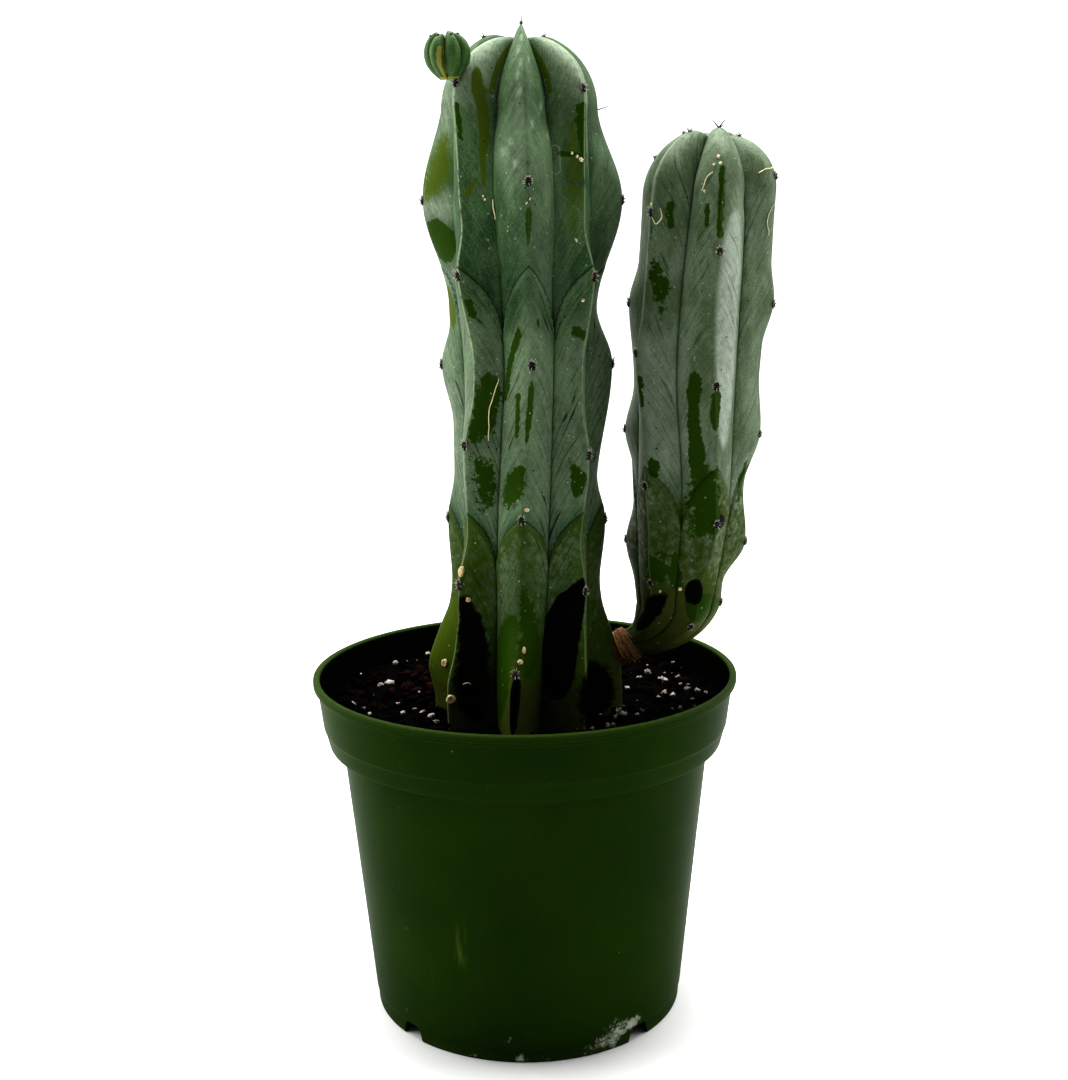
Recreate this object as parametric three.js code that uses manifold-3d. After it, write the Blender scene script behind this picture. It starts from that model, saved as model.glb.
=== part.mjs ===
// Potted blue candle cactus: two ribbed stems and a young offset in a green nursery pot.
// Millimetres, +Z up, the front of the plant faces -Y. The pot stands on Z = 0.
import * as THREE from 'three';
import { mergeVertices } from 'three/addons/utils/BufferGeometryUtils.js';
import Module from 'manifold-3d';

const wasm = await Module();
wasm.setup();

// Driving dimensions of the pot, a 6 inch azalea pot
const RIM_RADIUS = 76.2;
const POT_HEIGHT = 124;
const LIP_WIDTH = 2.2;
const LIP_HEIGHT = 2.8;
const COLLAR_TOP_RADIUS = 74.6;
const COLLAR_LOW_RADIUS = 72.6;
const COLLAR_BEVEL_Z = POT_HEIGHT - 17.8;
const COLLAR_EDGE_RADIUS = 71.0;
const COLLAR_EDGE_Z = POT_HEIGHT - 24.2;
const WALL_TOP_RADIUS = 66.3;
const WALL_FOOT_RADIUS = 57.0;
const WALL_THICKNESS = 1.4;
const SHELF_THICKNESS = 1;
const FOOT_RING_HEIGHT = 5.3;
const FOOT_RING_RADIUS = 56.3;
const FOOT_RING_WIDTH = 1.9;
const FLOOR_UNDERSIDE_Z = 3;
const FLOOR_TOP_Z = 5;
const POT_SIDES = 60;

// Four drain cut-outs through the foot ring and the outer floor
const DRAIN_COUNT = 4;
const DRAIN_FIRST_BEARING = -47;
const DRAIN_WIDTH_LOW = 10.5;
const DRAIN_WIDTH_TOP = 8;
const DRAIN_INNER_RADIUS = 46;

// Soil plug and its loose surface
const GAP = 0.3;
const SOIL_LEVEL = 112.4;
const SOIL_TILT = 0.016;
const SOIL_HEAP = 1.1;
const SOIL_SIDES = 44;
const SOIL_SURFACE_RINGS = 6;
const PERLITE_COUNT = 32;
const CRUMB_COUNT = 12;
const HOLE_CLEARANCE = 0.75;

// The plant stands off the pot's axis, and the whole part is centred on its bounding box
const BOX_CENTRE_X = 5;

const POT_GREEN = 0x2c5516;
const SOIL_BROWN = 0x2a211c;
const STEM_BLUE_GREEN = 0x5f8372;
const CORK_BROWN = 0x7a5236;
const OFFSET_GREEN = 0x5c8a3c;

const DEGREE = Math.PI / 180;

/** Numbers between 0 and 1 from a fixed seed. */
function seededRandom(seed) {
  let state = seed;
  return () => {
    state = (state * 1664525 + 1013904223) % 4294967296;
    return state / 4294967296;
  };
}

/** Value at x of a line through [x, value] points, eased between them and level past the ends. */
function along(points, x) {
  if (x <= points[0][0]) return points[0][1];
  for (let i = 1; i < points.length; i += 1) {
    const [x0, y0] = points[i - 1];
    const [x1, y1] = points[i];
    if (x <= x1) {
      const t = (x - x0) / (x1 - x0);
      return y0 + (y1 - y0) * t * t * (3 - 2 * t);
    }
  }
  return points[points.length - 1][1];
}

/** A hump of height 1 at the areole, easing out above and below it. */
function hump(rise, above, below) {
  const reach = rise > 0 ? above : below;
  const share = Math.abs(rise) / reach;
  return share >= 1 ? 0 : 0.5 * (1 + Math.cos(Math.PI * share));
}

/** Closed body from rings of equally many points, with one point at each end. */
function loft(start, rings, end) {
  const sides = rings[0].length;
  const points = [start, ...rings.flat(), end];
  const faces = [];
  const at = (ring, side) => 1 + ring * sides + (side % sides);
  for (let side = 0; side < sides; side += 1) {
    faces.push(0, at(0, side + 1), at(0, side));
    faces.push(points.length - 1, at(rings.length - 1, side), at(rings.length - 1, side + 1));
    for (let ring = 0; ring + 1 < rings.length; ring += 1) {
      faces.push(at(ring, side), at(ring, side + 1), at(ring + 1, side + 1));
      faces.push(at(ring, side), at(ring + 1, side + 1), at(ring + 1, side));
    }
  }
  const geometry = new THREE.BufferGeometry();
  const flat = new Float32Array(points.flatMap((point) => [point.x, point.y, point.z]));
  geometry.setAttribute('position', new THREE.BufferAttribute(flat, 3));
  geometry.setIndex(faces);
  return geometry;
}

/** A closed geometry as a solid that can be joined and cut. */
function toSolid(geometry) {
  const bare = geometry.clone();
  bare.deleteAttribute('normal');
  bare.deleteAttribute('uv');
  const merged = mergeVertices(bare, 1e-4);
  return new wasm.Manifold(new wasm.Mesh({
    numProp: 3,
    vertProperties: new Float32Array(merged.attributes.position.array),
    triVerts: new Uint32Array(merged.index.array),
  }));
}

/** All solids of a list joined into one, in pairs so that none grows early. */
function joined(solids) {
  let rest = solids;
  while (rest.length > 1) {
    const next = [];
    for (let i = 0; i < rest.length; i += 2) {
      next.push(i + 1 < rest.length ? rest[i].add(rest[i + 1]) : rest[i]);
    }
    rest = next;
  }
  return rest[0];
}

/** The largest body of a solid, without the scraps that a cut leaves. */
function largestBody(solid) {
  return solid.decompose().reduce((best, piece) => (piece.volume() > best.volume() ? piece : best));
}

/** A named mesh from a solid. */
function toMesh(name, solid, color, roughness) {
  const mesh = solid.getMesh();
  const geometry = new THREE.BufferGeometry();
  geometry.setAttribute('position', new THREE.BufferAttribute(new Float32Array(mesh.vertProperties), 3));
  geometry.setIndex(new THREE.BufferAttribute(new Uint32Array(mesh.triVerts), 1));
  geometry.computeVertexNormals();
  const material = new THREE.MeshStandardMaterial({ color, roughness, metalness: 0 });
  const result = new THREE.Mesh(geometry, material);
  result.name = name;
  return result;
}

/** A profile of [radius, height] points turned about Z. It starts and ends on the axis. */
function turned(profile, sides) {
  const points = profile.map(([radius, height]) => new THREE.Vector2(radius, height));
  const geometry = new THREE.LatheGeometry(points, sides);
  geometry.rotateX(Math.PI / 2);
  return toSolid(geometry);
}

/** Point at a radius, bearing and height. Bearing 0 faces the front, 90 the right. */
function polar(radius, bearing, height) {
  return new THREE.Vector3(radius * Math.sin(bearing * DEGREE), -radius * Math.cos(bearing * DEGREE), height);
}

// Rib shape. Each stem below states its ribs in order round the axis, with the bearing of the crest
// at a few heights, and its areoles: the height, how far it stands out of the crest, and where it
// isn't as on the other ribs, how far it reaches above and below. How blunt a rib is runs from 0 to 1
// by level, and is the stem's own value unless the rib has one.
// A stem is drawn upright on its own axis first and then placed.

const HALF_RIB_STEPS = [1, 0.62, 0.26, 0];

/** Share of the way from groove (0) to crest (1) at a share of the half rib. Blunt ribs are fuller. */
function ribShare(offset, blunt) {
  const slope = 1 - 1.15 * offset * offset / (offset + 0.15) - 0.07 * Math.sin(Math.PI * offset);
  const full = 1 - offset ** 2.6;
  return slope + (full - slope) * blunt;
}

/** How far up the dome a level is: 0 at the shoulder, 1 at the pit in the tip. */
function domeShare(stem, level) {
  return Math.max(0, (level - stem.shoulder) / (stem.top - stem.shoulder));
}

/** Radius and height of a rib's crest at a level. */
function crestAt(stem, rib, level) {
  const share = domeShare(stem, level);
  const height = Math.min(level, stem.shoulder);
  let radius = along(stem.crest, height);
  for (const [areole, stands, above = stem.humpAbove, below = stem.humpBelow] of rib.areoles) {
    radius += stands * hump(height - areole, above, below) * (1 - share);
  }
  if (share === 0) return { radius, height };
  const round = Math.cos(share * Math.PI / 2);
  const domeHeight = rib.tip - stem.shoulder;
  const up = (1 - round ** 2.1) ** (1 / 2.1);
  const sink = (rib.tip - stem.pit) * THREE.MathUtils.smoothstep(share, 0.72, 1);
  return { radius: radius * round, height: height + domeHeight * up - sink };
}

/** Radius and height of the groove beside a rib at a level. */
function grooveAt(stem, level) {
  const share = domeShare(stem, level);
  const height = Math.min(level, stem.shoulder);
  const radius = along(stem.groove, height);
  const round = Math.cos(share * Math.PI / 2);
  const rise = (stem.pit - stem.shoulder) * Math.sin(share * Math.PI / 2) ** 1.2;
  return { radius: radius * round ** 1.6, height: height + rise };
}

/** Step of the older skin that bulges below an arched growth line. */
function tierStep(stem, offset, height) {
  let step = 0;
  for (const line of stem.growthLines) {
    const drop = line - stem.growthArch * (0.6 * offset ** 1.2 + 0.45 * offset ** 8) - height;
    if (drop > 0) step = Math.max(step, stem.growthStep * Math.sqrt(offset) * Math.exp(-drop / 9));
  }
  return step;
}

/** Bearing of a rib's crest at a height. */
function bearingAt(rib, height) {
  return along(rib.bearing, height);
}

/** One ring of a stem at a level, swollen outwards by a clearance. */
function stemRing(stem, level, swell) {
  const count = stem.ribs.length;
  const ring = [];
  const groove = grooveAt(stem, level);
  stem.ribs.forEach((rib, index) => {
    const blunt = along(rib.blunt ?? stem.blunt, level);
    const crest = crestAt(stem, rib, level);
    const own = bearingAt(rib, crest.height);
    const turn = (step) => (index + step < 0 ? -360 : (index + step >= count ? 360 : 0));
    const before = bearingAt(stem.ribs[(index + count - 1) % count], crest.height) + turn(-1);
    const after = bearingAt(stem.ribs[(index + 1) % count], crest.height) + turn(1);
    const place = (offset, other) => {
      const share = ribShare(offset, blunt);
      const height = groove.height + (crest.height - groove.height) * share;
      const step = tierStep(stem, offset, height);
      const radius = groove.radius + (crest.radius - groove.radius) * share + step + swell;
      const bearing = own + (other - own) * offset / 2;
      ring.push(stem.place(polar(radius, bearing, height), level));
    };
    HALF_RIB_STEPS.forEach((offset) => place(offset, before));
    HALF_RIB_STEPS.slice(1, -1).reverse().forEach((offset) => place(offset, after));
  });
  return ring;
}

/** Closed body of a stem, swollen by a clearance where it only cuts its hole. */
function stemBody(stem, swell = 0) {
  const rings = stem.levels.map((level) => stemRing(stem, level, swell));
  const foot = stem.place(new THREE.Vector3(0, 0, stem.foot - swell), stem.levels[0]);
  const pit = stem.place(new THREE.Vector3(0, 0, stem.pit + swell), stem.top);
  return toSolid(loft(foot, rings, pit));
}

/** Level of a stem at which a rib's crest rises through a height, or is highest. */
function levelAtHeight(stem, rib, height) {
  if (height <= stem.shoulder) return height;
  const step = (stem.top - stem.shoulder) / 200;
  const crestHeight = (level) => crestAt(stem, rib, level).height;
  let level = stem.shoulder;
  while (crestHeight(level) < height && crestHeight(level + step) > crestHeight(level)) level += step;
  return level;
}

/** Middle of an areole on the crest, the way out of the flesh there, and the way up the crest. */
function areoleSeat(stem, rib, areole) {
  const crestPoint = (level) => {
    const crest = crestAt(stem, rib, level);
    return stem.place(polar(crest.radius, bearingAt(rib, crest.height), crest.height), level);
  };
  const level = levelAtHeight(stem, rib, areole);
  const above = stem.levels.findIndex((each) => each > level);
  const high = stem.levels[above];
  const low = stem.levels[above - 1];
  const point = crestPoint(low).lerp(crestPoint(high), (level - low) / (high - low));
  const run = crestPoint(high).sub(crestPoint(low)).normalize();
  const axis = stem.place(new THREE.Vector3(0, 0, Math.min(level, stem.shoulder) - 6), Math.min(level, stem.shoulder));
  const outward = point.clone().sub(axis);
  outward.addScaledVector(run, -outward.dot(run)).normalize();
  return { point, outward, run };
}

/** An areole: a small eight-sided pad, half sunk, with four of its faces drawn out into spines. */
function areolePad(stem, seat, random) {
  const { point, outward, run } = seat;
  const side = new THREE.Vector3().crossVectors(run, outward);
  const around = [side, run, side.clone().negate(), run.clone().negate()];
  const corner = (direction) => point.clone().addScaledVector(direction, stem.padRadius);
  const ring = around.map(corner);
  const crown = corner(outward);
  const root = corner(outward.clone().negate());
  const points = [...ring, crown, root];
  const faces = [];
  for (let i = 0; i < 4; i += 1) {
    const next = (i + 1) % 4;
    const splay = outward.clone().multiplyScalar(0.5 + 0.6 * random());
    const way = splay.add(around[i]).add(around[next]).normalize();
    const tip = points.push(point.clone().addScaledVector(way, stem.spineLength * (0.8 + 0.4 * random()))) - 1;
    faces.push(i, next, tip, next, 4, tip, 4, i, tip);
    faces.push(next, i, 5);
  }
  const geometry = new THREE.BufferGeometry();
  const flat = new Float32Array(points.flatMap((each) => [each.x, each.y, each.z]));
  geometry.setAttribute('position', new THREE.BufferAttribute(flat, 3));
  geometry.setIndex(faces);
  return toSolid(geometry);
}

/** A stem with its areoles and spines as one solid. */
function stemWithSpines(stem, seed) {
  const random = seededRandom(seed);
  const solids = [stemBody(stem)];
  for (const rib of stem.ribs) {
    for (const [areole] of rib.areoles) {
      if (areole > stem.lowestAreole) solids.push(areolePad(stem, areoleSeat(stem, rib, areole), random));
    }
  }
  return joined(solids);
}

/** Levels from low to high in even steps. */
function levelsBetween(low, high, count) {
  return Array.from({ length: count }, (_, i) => low + (high - low) * i / (count - 1));
}

// Main stem: seven ribs, foot in the soil, tip 221 mm above the rim

const MAIN_AXIS = new THREE.Vector3(1, -16, 0);

// The ribs beside the front rib swell against it at the tip, where it stays a narrow wedge
const FULL_SHOULDER = [[84, 0], [290, 0], [318, 0.5], [332, 0.95]];

const mainStem = {
  foot: 84,
  shoulder: 318,
  top: 348,
  pit: 340,
  levels: [
    85.5, 90, 98, 106,
    112, 119, 126, 135, 143, 150, 156, 162, 170, 177, 183, 188, 195, 202, 209, 217, 224, 230,
    235.5, 241, 248, 256, 264.5, 272, 279, 285, 290, 296, 303, 310, 318,
    ...levelsBetween(321.5, 345.5, 7),
  ],
  crest: [
    [84, 8], [92, 22], [102, 30], [114, 33.2], [128, 33], [142, 29.6], [153, 26.4], [164, 25.4],
    [205, 24.8], [262, 25.6], [290, 26.6], [318, 25.8],
  ],
  groove: [
    [84, 7], [92, 15], [104, 19.5], [125, 21], [160, 20.6], [205, 20.8], [262, 21.2], [285, 23.2],
    [303, 22], [318, 18],
  ],
  blunt: [[84, 0], [290, 0], [318, 0.3], [348, 0.8]],
  humpAbove: 17,
  humpBelow: 31,
  growthLines: [268, 187],
  growthArch: 17,
  growthStep: 1.2,
  padRadius: 1.1,
  spineLength: 3,
  lowestAreole: 118,
  ribs: [
    {
      bearing: [[112, -9], [150, -6], [186, -3], [237, 5], [294, 3.6], [343, 3]],
      areoles: [[344, 0], [293.9, 6, 32], [236.9, 4.4], [186.4, 3.2], [135.5, 1]],
      tip: 345.5,
      blunt: [[84, 0], [348, 0.1]],
    },
    {
      bearing: [[112, 34], [150, 41], [206, 50], [323, 49]],
      areoles: [[323, 1.2], [264.3, 4.4], [206.3, 2.7], [160.9, 3]],
      tip: 341.2,
      blunt: FULL_SHOULDER,
    },
    {
      bearing: [[112, 88], [160, 96], [240, 101]],
      areoles: [[341, 0], [289, 7.8, 32, 36], [234.4, 5.8, 20, 46], [181, 2.8, 17, 26]],
      tip: 342.4,
    },
    {
      bearing: [[112, 146], [200, 152]],
      areoles: [[318, 1.4], [263, 4.4], [209, 2.8], [160, 2.6]],
      tip: 342,
    },
    {
      bearing: [[112, 204], [200, 206]],
      areoles: [[321, 1.4], [266, 4.4], [212, 2.8], [161, 2.6]],
      tip: 343.6,
    },
    {
      bearing: [[112, 262], [240, 259]],
      areoles: [[341, 0], [289.4, 7.2, 38, 34], [234.8, 3.4, 15, 20], [182, 2.2, 17, 34], [130, 2.4, 36, 14]],
      tip: 343.4,
    },
    {
      bearing: [[112, 306.5], [163, 307], [210, 314], [238, 320], [265, 316], [300, 310], [325, 307.6]],
      areoles: [[325.1, 1.2], [265.1, 4.2], [210.2, 2.7], [162.8, 3], [125, 1]],
      tip: 341.2,
      blunt: FULL_SHOULDER,
    },
  ],
  place: (point) => point.add(MAIN_AXIS),
};

// Side stem: six ribs, bent out of its neck about a pivot beside the main stem

const BRANCH_DEPTH = -12;
const BEND_TOP = 150;
const BEND_LENGTH = 24;
const BEND_ANGLE = 59;
const BEND_PIVOT = new THREE.Vector2(28.8, 150);
const BEND_INNER_RADIUS = 10.5;
const BRANCH_LEAN = 0.064;
const BRANCH_FOOT_X = 54.2;
const NECK_RADIUS = 5.5;

/** Puts a point of the upright side stem where the leaning and bent stem has it. */
function placeBranch(point, level) {
  if (level >= BEND_TOP) {
    const x = BRANCH_FOOT_X + BRANCH_LEAN * (point.z - BEND_TOP) + point.x;
    return new THREE.Vector3(x, BRANCH_DEPTH + point.y, point.z);
  }
  const share = (BEND_TOP - point.z) / BEND_LENGTH;
  const half = BRANCH_FOOT_X - BEND_PIVOT.x - BEND_INNER_RADIUS;
  const fromPivot = BEND_INNER_RADIUS + half + (NECK_RADIUS - half) * share + point.x;
  const angle = BEND_ANGLE * share * DEGREE;
  const x = BEND_PIVOT.x + fromPivot * Math.cos(angle);
  return new THREE.Vector3(x, BRANCH_DEPTH + point.y, BEND_PIVOT.y - fromPivot * Math.sin(angle));
}

const branchStem = {
  foot: BEND_TOP - BEND_LENGTH,
  shoulder: 291,
  top: 320,
  pit: 308.5,
  levels: [
    ...levelsBetween(BEND_TOP - BEND_LENGTH, BEND_TOP, 6),
    ...levelsBetween(157, 291, 18),
    ...levelsBetween(294, 318, 7),
  ],
  crest: [
    [126, NECK_RADIUS], [150, 14.3], [158, 15], [172, 18.4], [184, 18.6], [195, 19.6], [212, 21.6],
    [240, 22], [262, 23], [291, 22.4],
  ],
  groove: [[126, 5.2], [150, 13.5], [172, 16], [212, 17.8], [262, 18.2], [280, 17.6], [291, 16]],
  blunt: [[126, 0], [275, 0.1], [291, 0.4], [318, 0.9]],
  humpAbove: 15,
  humpBelow: 24,
  growthLines: [201],
  growthArch: 20,
  growthStep: 0.7,
  padRadius: 1,
  spineLength: 2.7,
  lowestAreole: 140,
  ribs: [
    {
      bearing: [[150, 20], [182, 26], [229, 11], [272, 5], [311, 6]],
      areoles: [[312.3, 0], [272, 1.4], [228.7, 1.6], [181.7, 1.6], [146, 1]],
      tip: 313,
    },
    {
      bearing: [[150, 82], [182, 82], [212, 76], [291, 73]],
      areoles: [[309, 0], [296, 0.2], [254.3, 2, 15, 14], [210.5, 2.2, 22, 17], [172.9, 3.2, 24, 14], [151, 0.4, 8, 10]],
      tip: 310.4,
    },
    {
      bearing: [[150, 140], [212, 136]],
      areoles: [[309.5, 0], [272, 1.6], [229, 1.6], [190, 1.4]],
      tip: 312.4,
    },
    {
      bearing: [[150, 196], [212, 190]],
      areoles: [[288, 1.4], [252, 1.6], [208, 1.6], [168, 1.4]],
      tip: 312.4,
    },
    {
      bearing: [[150, 250], [212, 246]],
      areoles: [[310.5, 0], [303, 1, 10, 40], [254.6, 2.8, 15, 30], [211, 2.4, 15, 14], [172, 2.2, 15, 34]],
      tip: 312.4,
    },
    {
      bearing: [[150, 318], [194, 312], [239, 296], [285, 304]],
      areoles: [[310.5, 0], [284.7, 1.4], [238.8, 1.8], [194.5, 1.6], [160.5, 1.4]],
      tip: 312.4,
    },
  ],
  place: placeBranch,
};

// Young offset: a small barrel on the upper left areole of the main stem

const OFFSET_RIBS = 6;
const OFFSET_HEIGHT = 15.5;
const OFFSET_RADIUS = 7.4;

/** Rib list of the young offset, all alike. */
function offsetRibs() {
  return Array.from({ length: OFFSET_RIBS }, (_, i) => ({
    bearing: [[0, 24 + 60 * i]],
    areoles: [[OFFSET_HEIGHT - 1.6, 0]],
    tip: OFFSET_HEIGHT - (i % 2) * 0.7,
  }));
}

const offsetSeat = areoleSeat(mainStem, mainStem.ribs[6], 325.1);
const OFFSET_TILT = new THREE.Quaternion().setFromEuler(new THREE.Euler(0.1, -0.06, 0));
const OFFSET_BASE = offsetSeat.point.clone().add(new THREE.Vector3(-2.0, -1.4, 0.4));

const youngOffset = {
  foot: 0,
  shoulder: 8,
  top: 17,
  pit: 12.6,
  levels: [0.1, 1.2, 3, 5.5, 8, ...levelsBetween(9.8, 15.8, 4)],
  crest: [[0, 2.4], [1.2, 3.6], [3, 5.4], [5.5, 6.9], [8, OFFSET_RADIUS]],
  groove: [[0, 2.1], [1.2, 3], [5.5, 5], [8, 5.2]],
  blunt: [[0, 0.6], [17, 0.9]],
  humpAbove: 2,
  humpBelow: 2,
  growthLines: [],
  growthArch: 0,
  growthStep: 0,
  padRadius: 0.45,
  spineLength: 1.6,
  lowestAreole: 9,
  ribs: offsetRibs(),
  place: (point) => point.applyQuaternion(OFFSET_TILT).add(OFFSET_BASE),
};

// Pot

// Outside of the wall and of the collar, as straight lines through [height, radius]
const WALL_LINE = [[FOOT_RING_HEIGHT, WALL_FOOT_RADIUS], [COLLAR_EDGE_Z, WALL_TOP_RADIUS]];
const COLLAR_LINE = [
  [COLLAR_EDGE_Z, COLLAR_EDGE_RADIUS],
  [COLLAR_BEVEL_Z, COLLAR_LOW_RADIUS],
  [POT_HEIGHT - LIP_HEIGHT, COLLAR_TOP_RADIUS],
];
const SHELF_TOP_Z = COLLAR_EDGE_Z + SHELF_THICKNESS;

/** Radius of the inside of the pot at a height. The shelf under the collar divides wall and collar. */
function insideRadius(height) {
  const line = height < SHELF_TOP_Z ? WALL_LINE : COLLAR_LINE;
  const high = Math.max(1, line.findIndex(([top]) => top >= height));
  const [z0, r0] = line[high - 1];
  const [z1, r1] = line[high];
  return r0 + (r1 - r0) * (height - z0) / (z1 - z0) - WALL_THICKNESS;
}

/** One drain cut-out, drawn as its section across the foot ring and pushed outwards. */
function drainCut(bearing) {
  const top = FOOT_RING_HEIGHT - 0.1;
  const round = 1.6;
  const section = new THREE.Shape();
  section.moveTo(-DRAIN_WIDTH_LOW / 2, -1);
  section.lineTo(DRAIN_WIDTH_LOW / 2, -1);
  section.lineTo(DRAIN_WIDTH_TOP / 2 + 0.3, top - round);
  section.quadraticCurveTo(DRAIN_WIDTH_TOP / 2, top, DRAIN_WIDTH_TOP / 2 - round, top);
  section.lineTo(-DRAIN_WIDTH_TOP / 2 + round, top);
  section.quadraticCurveTo(-DRAIN_WIDTH_TOP / 2, top, -DRAIN_WIDTH_TOP / 2 - 0.3, top - round);
  section.closePath();
  const geometry = new THREE.ExtrudeGeometry(section, {
    depth: RIM_RADIUS - DRAIN_INNER_RADIUS,
    bevelEnabled: false,
    curveSegments: 2,
  });
  geometry.rotateX(Math.PI / 2);
  geometry.translate(0, -DRAIN_INNER_RADIUS, 0);
  geometry.rotateZ(bearing * DEGREE);
  return toSolid(geometry);
}

/** The nursery pot: lip, collar with its bevelled lower edge, wall, foot ring and floor. */
function makePot() {
  const lipFoot = POT_HEIGHT - LIP_HEIGHT;
  const ringInside = FOOT_RING_RADIUS - FOOT_RING_WIDTH;
  const profile = [
    [0, FLOOR_UNDERSIDE_Z],
    [ringInside - 0.6, FLOOR_UNDERSIDE_Z],
    [ringInside, 0],
    [FOOT_RING_RADIUS, 0],
    [FOOT_RING_RADIUS + 0.2, FOOT_RING_HEIGHT],
    [WALL_FOOT_RADIUS, FOOT_RING_HEIGHT + 0.4],
    [WALL_TOP_RADIUS, COLLAR_EDGE_Z - 0.8],
    [COLLAR_EDGE_RADIUS, COLLAR_EDGE_Z],
    [COLLAR_LOW_RADIUS, COLLAR_BEVEL_Z],
    [COLLAR_TOP_RADIUS, lipFoot],
    [RIM_RADIUS - 0.3, lipFoot + 0.1],
    [RIM_RADIUS, lipFoot + 0.5],
    [RIM_RADIUS, POT_HEIGHT - 0.4],
    [RIM_RADIUS - 0.4, POT_HEIGHT],
    [RIM_RADIUS - LIP_WIDTH, POT_HEIGHT],
    [RIM_RADIUS - LIP_WIDTH - 0.3, POT_HEIGHT - 0.4],
    [insideRadius(lipFoot), lipFoot - 0.4],
    [insideRadius(COLLAR_BEVEL_Z), COLLAR_BEVEL_Z],
    [insideRadius(SHELF_TOP_Z), SHELF_TOP_Z],
    [insideRadius(COLLAR_EDGE_Z), COLLAR_EDGE_Z],
    [insideRadius(FLOOR_TOP_Z + 3), FLOOR_TOP_Z + 3],
    [insideRadius(FLOOR_TOP_Z) - 3, FLOOR_TOP_Z],
    [0, FLOOR_TOP_Z],
  ];
  let pot = turned(profile, POT_SIDES);
  for (let i = 0; i < DRAIN_COUNT; i += 1) {
    pot = pot.subtract(drainCut(DRAIN_FIRST_BEARING + 360 / DRAIN_COUNT * i));
  }
  return pot;
}

// Soil

/** Height of the soil's surface: tilted a little, heaped towards the stem and crumbly. */
function soilHeight(x, y) {
  const fromStem = Math.hypot(x - MAIN_AXIS.x, y - MAIN_AXIS.y);
  const heap = SOIL_HEAP * Math.exp(-(((fromStem - 20) / 26) ** 2));
  const crumble = 0.7 * Math.sin(0.31 * x + 1.3) * Math.cos(0.27 * y) + 0.4 * Math.sin(0.83 * x - 0.71 * y);
  return SOIL_LEVEL + SOIL_TILT * y + heap + crumble;
}

/** A grain or crumb half sunk in the soil's surface. */
function grain(random, size, reach) {
  const radius = reach * Math.sqrt(random());
  const turn = 2 * Math.PI * random();
  const x = radius * Math.cos(turn);
  const y = radius * Math.sin(turn);
  const geometry = new THREE.OctahedronGeometry(size);
  geometry.scale(0.8 + 0.5 * random(), 0.8 + 0.5 * random(), 0.7 + 0.3 * random());
  geometry.rotateX(random() * 3);
  geometry.rotateZ(random() * 3);
  geometry.translate(x, y, soilHeight(x, y) + size * 0.25);
  return toSolid(geometry);
}

/** The soil plug with perlite grains and bark crumbs in its surface and the main stem's hole. */
function makeSoil() {
  const ringAt = (radius, height) => Array.from({ length: SOIL_SIDES }, (_, i) => {
    const point = polar(radius, 360 * i / SOIL_SIDES, 0);
    return new THREE.Vector3(point.x, point.y, height === null ? soilHeight(point.x, point.y) : height);
  });
  const sideFit = Math.cos(Math.PI / POT_SIDES) ** 2;
  const fit = (height) => insideRadius(height) * sideFit - GAP;
  const floor = FLOOR_TOP_Z + GAP;
  const topRadius = fit(SOIL_LEVEL);
  const rings = [
    ringAt(fit(FLOOR_TOP_Z) - 3.2, floor),
    ringAt(fit(FLOOR_TOP_Z + 3), FLOOR_TOP_Z + 3 + GAP),
    ringAt(fit(COLLAR_EDGE_Z - 1), COLLAR_EDGE_Z + GAP),
    ringAt(fit(SHELF_TOP_Z), SHELF_TOP_Z + GAP * 2),
    ringAt(fit(COLLAR_BEVEL_Z), COLLAR_BEVEL_Z + GAP),
    ringAt(topRadius, null),
  ];
  for (let i = SOIL_SURFACE_RINGS - 1; i > 0; i -= 1) {
    rings.push(ringAt(topRadius * i / SOIL_SURFACE_RINGS, null));
  }
  const start = new THREE.Vector3(0, 0, floor);
  const end = new THREE.Vector3(0, 0, soilHeight(0, 0));
  const random = seededRandom(7);
  const solids = [toSolid(loft(start, rings, end))];
  for (let i = 0; i < PERLITE_COUNT; i += 1) solids.push(grain(random, 1 + 1.1 * random(), topRadius - 4));
  for (let i = 0; i < CRUMB_COUNT; i += 1) solids.push(grain(random, 1.6 + 1.4 * random(), topRadius - 5));
  return largestBody(joined(solids).subtract(stemBody(mainStem, HOLE_CLEARANCE)));
}

// Corky neck between the main stem's right rib and the side stem

const NECK_THICKNESS = 3;
const NECK_ROOT = 7;
const NECK_SIDES = 16;

/** The neck: a fluted collar along the bend's lower end, cut back where the main stem's flesh is. */
function makeNeck() {
  const end = placeBranch(new THREE.Vector3(0, 0, branchStem.foot), branchStem.foot);
  const angle = BEND_ANGLE * DEGREE;
  const across = new THREE.Vector3(Math.cos(angle), 0, -Math.sin(angle));
  const onward = new THREE.Vector3(Math.sin(angle), 0, Math.cos(angle));
  const depth = new THREE.Vector3(0, 1, 0);
  const ringAt = (back, radius) => Array.from({ length: NECK_SIDES }, (_, i) => {
    const turn = 2 * Math.PI * i / NECK_SIDES;
    const fluted = radius * (i % 2 === 0 ? 1 : 0.9);
    const point = end.clone().addScaledVector(onward, -back);
    point.addScaledVector(across, fluted * Math.cos(turn));
    return point.addScaledVector(depth, fluted * Math.sin(turn));
  });
  const start = end.clone().addScaledVector(onward, -NECK_ROOT);
  const rings = [
    ringAt(NECK_ROOT, 6.6),
    ringAt(NECK_THICKNESS, 6.4),
    ringAt(NECK_THICKNESS / 2, 6.7),
    ringAt(GAP, NECK_RADIUS),
  ];
  const neck = toSolid(loft(start, rings, end.clone().addScaledVector(onward, -GAP)));
  return largestBody(neck.subtract(stemBody(mainStem, GAP * 2)));
}

/** The main stem with the seat in which the young offset stands. */
function makeMainStem() {
  return largestBody(stemWithSpines(mainStem, 11).subtract(stemBody(youngOffset, GAP)));
}

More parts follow.
